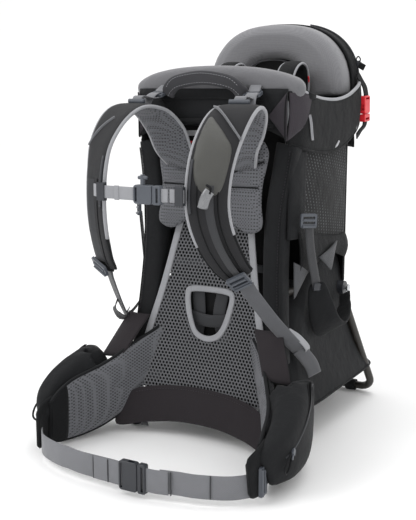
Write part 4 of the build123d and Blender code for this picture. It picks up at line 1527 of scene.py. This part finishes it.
def stirrup(side, tag):
    """Foot stirrup: hanging web, wide sling, keeper and a cord behind."""
    body = "stirrup_" + SIDE_WORD[side]

    def sling_half(t):
        return 0.011 + 0.016 * math.sin(math.pi * (t * 1.15)) ** 0.7 if t < 0.85 else 0.013

    ribbon("stirrup_web_" + tag,
           mirror(side, [(168, -4, 384), (169, 4, 340), (172, 14, 300), (174, 22, 272)]),
           (0.35 * side, 0.94, 0.1), 0.0100, 0.0018, "webdark", body, replaces=body,
           slot="charcoal")
    ribbon("stirrup_sling_" + tag, mirror(side, [
        (174, 22, 282), (177, 30, 246), (180, 50, 206), (181, 84, 188), (178, 122, 196),
        (172, 158, 216), (164, 178, 232)]),
        lambda t: (0.80 * side, 0.5 * (1 - t), 0.45 + 0.2 * t), sling_half, 0.0036,
        "charcoal", body)
    ribbon("stirrup_keeper_" + tag,
           mirror(side, [(172, 12, 276), (177.5, 21, 275), (177, 31, 274)]),
           (0.1, 0.1, 1), 0.007, 0.004, "buckledark", body)
    tube("stirrup_cord_" + tag, mirror(side, [
        (165, 176, 226), (170, 184, 214), (170, 190, 204), (167, 186, 212), (164, 180, 222)]),
        0.0019, "cord", "frame")


both_sides(stirrup)

# --------------------------------------------------------------- hip belt
# top and bottom edges of the wing, from its root to the tip at -Y
HIP_TOP = smooth([(84, -52, 199), (104, -66, 182), (128, -92, 163), (146, -118, 144),
                  (162, -143, 130), (176, -168, 121), (188, -196, 112), (195, -224, 98),
                  (198, -242, 84)], 5)
HIP_BOTTOM = smooth([(128, -84, 55), (134, -93, 48), (143, -108, 38), (153, -126, 28),
                     (164, -147, 19), (177, -171, 12), (189, -198, 9), (196, -226, 11),
                     (199, -244, 18)], 5)
# padding towards the wearer at the same stations
HIP_PADDING = smooth([(4,), (6,), (7,), (8,), (8,), (8,), (8,), (7,), (5,)], 5)
# pocket: x, y, z, half height, outer padding, inner padding
HIP_POUCH = smooth([
    (167, -104, 102, 48, 10, 12), (176, -106, 97, 62, 25, 31), (187, -109, 90, 71, 35, 41),
    (197, -132, 83, 70, 35, 35), (205, -159, 77, 65, 33, 26), (211, -188, 70, 56, 29, 19),
    (213, -214, 62, 47, 24, 15), (210, -236, 52, 38, 14, 9), (205, -248, 46, 30, 6, 4)], 5)
POUCH_POWER, POUCH_THICK_POWER = 0.56, 0.68


def hip_stations():
    """(centre, up, normal towards the wearer, half height) along the +X wing, in mm."""
    centres = [Vector(tuple((a + b) / 2 for a, b in zip(p, q)))
               for p, q in zip(HIP_TOP, HIP_BOTTOM)]
    out = []
    for i, centre in enumerate(centres):
        ahead, behind = centres[min(i + 1, len(centres) - 1)], centres[max(i - 1, 0)]
        up = (Vector(HIP_TOP[i]) - Vector(HIP_BOTTOM[i])) / 2
        width = up.normalized()
        normal = (ahead - behind).normalized().cross(width).normalized()
        out.append((centre, width, -normal if normal.x > 0 else normal, up.length))
    return out


def metre_ring(side, ring):
    return [from_mm(side * p.x, p.y, p.z) for p in ring]


def blend_wing(obj):
    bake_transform(obj)


def hip_pad(side, tag, body):
    """Mesh towards the wearer, cloth outside, black front end and bound edges."""
    stations = hip_stations()
    count = len(stations)
    across = [math.sin(math.pi / 2 * q / 8) for q in range(-8, 9)]
    inner, outer = [], []
    for i, (c, w, n, h) in enumerate(stations):
        t = i / (count - 1)
        outer_pad = 3.0 + 11.0 * math.sin(math.pi * min(1, 0.12 + t)) ** 0.7
        inner_ring, outer_ring = [], []
        for u in across:
            full = max(0.03, 1 - abs(u) ** 4) ** 0.5
            dart = 3.0 * math.exp(
                -(segment_distance((t * 200, u * 50), (44, 8), (84, -4)) / 3.5) ** 2)
            inner_ring.append(c + w * h * u + n * (HIP_PADDING[i][0] * full - dart))
            outer_ring.append(c + w * h * u - n * (2.2 + outer_pad * full))
        for u in (0.7, 0.0, -0.7):
            inner_ring.append(c + w * h * u - n * 2.0)
            outer_ring.append(c + w * h * u - n * 2.2)
        inner.append(metre_ring(side, inner_ring))
        outer.append(metre_ring(side, outer_ring))
    blend_wing(loft("hip_outer_" + tag, outer[:int(count * 0.86)], "charcoal"))
    split = int(count * 0.80)
    blend_wing(loft("hip_mesh_" + tag, inner[:split + 1], "spacer",
                    replaces="hip_pad_" + SIDE_WORD[side]))
    loft("hip_front_panel_" + tag, inner[split:], "black", body, slot="charcoal")
    for u, edge, material in ((-1, "low", "black"), (1, "top", "charcoal")):
        points = mirror(side, [c + w * h * u for c, w, n, h in stations])
        blend_wing(tube("hip_binding_%s_%s" % (tag, edge), points, 0.0030, material, step=1,
                        slot="charcoal"))
    c, w, n, h = stations[-1]
    points = [c + w * h * u - Vector((0, 0.5, 0)) for u in (-1, -0.5, 0, 0.5, 1)]
    tube("hip_front_edge_" + tag, mirror(side, points), 0.0036, "black", body, step=4)


def hip_pocket(side, tag, body):
    """Dark outer pocket with a curved zip."""
    frames = [(c, w, -n if n.x < 0 else n)
              for c, w, n in frames_of([Vector(p[:3]) for p in HIP_POUCH], ALONG_Z)]
    section = oval(28, POUCH_POWER, POUCH_THICK_POWER)
    rings = []
    for (c, w, n), (*_, half, outer, inner) in zip(frames, HIP_POUCH):
        rings.append(metre_ring(side, [
            c + w * half * a + n * (inner if b < 0 else outer) * b for a, b in section]))
    pocket = loft("hip_pouch_" + tag, rings, "charcoal",
                  replaces="hip_pocket_" + SIDE_WORD[side])
    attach(puff(pocket, voxel=0.005, cap=0.003), body)

    def on_pocket(t, u, off):
        """t along, u up the outer face, off mm outwards."""
        x = t * (len(frames) - 1)
        i = min(int(x), len(frames) - 2)
        part = x - i
        c, w, n = [a.lerp(b, part) for a, b in zip(frames[i], frames[i + 1])]
        half, outer = [a * (1 - part) + b * part
                       for a, b in zip(HIP_POUCH[i][3:5], HIP_POUCH[i + 1][3:5])]
        cosine = signed_power(u, 1 / POUCH_POWER)
        sine = math.sqrt(max(0, 1 - cosine * cosine))
        return c + w * half * u + n * (outer * sine ** POUCH_THICK_POWER + off)

    def pocket_line(start, span, low, off):
        return mirror(side, [on_pocket(start - span * t, low + 0.66 * t ** 1.2, off)
                             for t in steps(16)])

    zip_line = pocket_line(0.79, 0.55, 0.20, 0.8)
    ribbon("pouch_zip_tape_" + tag, zip_line, (0.2 * side, 0.1, 1), 0.0055, 0.0012, "black",
           body, step=2, slot="charcoal")
    tube("pouch_zip_coil_" + tag, [(x + 0.8 * side, y, z) for x, y, z in zip_line], 0.0016,
         "buckledark", body, sides=6, step=2)
    for letter, low in (("a", 0.30), ("b", 0.10)):
        seam("pouch_seam_" + tag + letter, pocket_line(0.84, 0.62, low, 0.3), 0.0010, body,
             step=2)
    # cord loop on the zip pull
    tube("zip_cord_" + tag, mirror(side, [
        (239, -216, 74), (241, -226, 70), (240, -236, 62), (239, -240, 52), (238, -234, 44),
        (239, -226, 48), (241, -222, 62), (240, -217, 73)]), 0.0017, "black",
        "zip_pull_" + SIDE_WORD[side])


def hip_flap(side, tag):
    """Plum flap over the hip, edged in black."""
    corners = [from_mm(*p) for p in mirror(side, [
        (104, -74, 214), (150, -68, 214), (186, -104, 136), (139, -112, 142)])]

    def flap(u, v):
        p = corner_patch(corners, u, v)
        bulge = 0.006 * math.sin(math.pi * u) * (1 - v * 0.5)
        return (p.x + side * bulge * 0.5, p.y - bulge, p.z)

    edge = [(1, t) for t in steps(6)] + [(1 - t, 1) for t in steps(4)[1:]]
    for piece in (
            sheet("hip_flap_" + tag, flap, 12, 12, 0.004, "plum"),
            tube("hip_flap_edge_" + tag, surface_line(flap, edge), 0.0016, "black", step=2)):
        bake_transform(piece)


def hip(side, tag):
    body = "hip_wing_" + SIDE_WORD[side]
    hip_pad(side, tag, body)
    hip_pocket(side, tag, body)
    # black fin tip that carries the adjuster
    ribbon("fin_tip_" + tag, mirror(side, [
        (200, -226, 54), (203, -240, 51), (203, -256, 47), (200, -270, 43), (197, -277, 42)]),
        (0, 0.05, 1), lambda t: 0.040 * (1 - 0.35 * t ** 3), 0.007, "black", body,
        slot="charcoal")
    hip_flap(side, tag)


both_sides(hip)
# light binding where the mesh folds into the right wing
root_binding = ribbon("wing_root_binding_R", [
    (112, -79, 196), (128, -92, 170), (137, -101, 146), (138, -101, 112), (136, -99, 84),
    (128, -92, 58)], (0.68, -0.73, 0.0), 0.0060, 0.0040, "binding")
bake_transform(root_binding)

# belt webbing: x, y
BELT_Z = 31.0
BELT_HALF, BELT_THICK = 0.019, 0.0019
BELT = [(203, -240), (203, -252), (196, -269), (172, -293), (130, -312), (102, -318.5)]
# name, side, (x, y) points after the shared run, body, node it replaces
for name, side, ends, body, replaces in (
        ("web_R", 1, [(73.5, -323)], "hip_wing_right", "belt_webbing_right"),
        ("web_L", -1, [(-73, -323), (-30, -324.6), (-8, -325.4), (8, -327)],
         "hip_wing_left", "belt_webbing_left"),
        ("fold_R", 0, [(48, -329.2), (66, -328.2), (88, -324.0)], "waist_plug", None),
        ("fold_L", 0, [(8, -329.4), (-12, -328.2), (-34, -327.2), (-46, -326.6)],
         "hip_wing_left", None)):
    # the folds, side 0, have no shared run
    run = [(side * x, y, BELT_Z + 1.5 * math.sin(x / 40)) for x, y in BELT] if side else []
    ribbon("belt_" + name, run + [(x, y, BELT_Z) for x, y in ends], ALONG_Z, BELT_HALF,
           BELT_THICK, "webbing", body, replaces=replaces)
for letter, x, y, body in (
        ("a", 92, -323.4, "hip_wing_right"), ("b", 150, -306.0, "hip_wing_right"),
        ("c", -18, -329.0, "hip_wing_left"), ("d", -47, -326.8, "hip_wing_left")):
    tube("belt_bartack_" + letter,
         [(x, y, BELT_Z - 18.5), (x, y - 0.4, BELT_Z), (x, y, BELT_Z + 18.5)],
         0.0011, "webdark", body, sides=6)


# ------------------------------------------------------------------- stage
def floor():
    """Paper sweep, 8 m wide, that curves up behind."""
    strips = 24
    profile = [(-3.0, 0), (1.2, 0), (2.0, 0.05), (2.6, 0.3), (3.0, 0.9), (3.2, 3.2)]
    row = len(profile)
    verts = [(-4 + 8 * i / strips, y, z - 0.0003) for i in range(strips + 1)
             for y, z in profile]
    faces = []
    for i in range(strips):
        for j in range(row - 1):
            a = i * row + j
            faces.append((a, a + row, a + row + 1, a + 1))
    add_mesh("floor", verts, faces, "floor")


def studio_world():
    world = bpy.data.worlds.new("studio")
    scene.world = world
    world.use_nodes = True
    background = world.node_tree.nodes["Background"]
    background.inputs["Color"].default_value = (1, 1, 1, 1)
    background.inputs["Strength"].default_value = 0.95


def area_light(name, location, target, size, power):
    light = bpy.data.lights.new(name, "AREA")
    light.size = size
    light.energy = power
    obj = bpy.data.objects.new(name, light)
    obj.location = location
    aim = Vector(target) - Vector(location)
    obj.rotation_euler = aim.to_track_quat("-Z", "Y").to_euler()
    scene.collection.objects.link(obj)


def camera():
    cam = bpy.data.cameras.new("cam")
    cam.lens = 65.32
    cam.sensor_width = 36
    cam.clip_start = 0.05
    obj = bpy.data.objects.new("cam", cam)
    obj.location = (0.7907, -1.4421, 0.6114)
    pitch_down, turn = math.radians(10.411), math.radians(29.58)
    obj.rotation_euler = (math.pi / 2 - pitch_down, 0, turn)
    scene.collection.objects.link(obj)
    scene.camera = obj


floor()
studio_world()
area_light("key", location=(-1.4, -1.8, 2.2), target=(0, 0, 0.35), size=1.4, power=26)
area_light("fill", location=(2.2, -1.2, 1.2), target=(0, 0, 0.3), size=1.6, power=5)
area_light("top", location=(0.2, 0.6, 2.6), target=(0, 0, 0.4), size=1.6, power=16)
scene.view_settings.view_transform = "Standard"
camera()
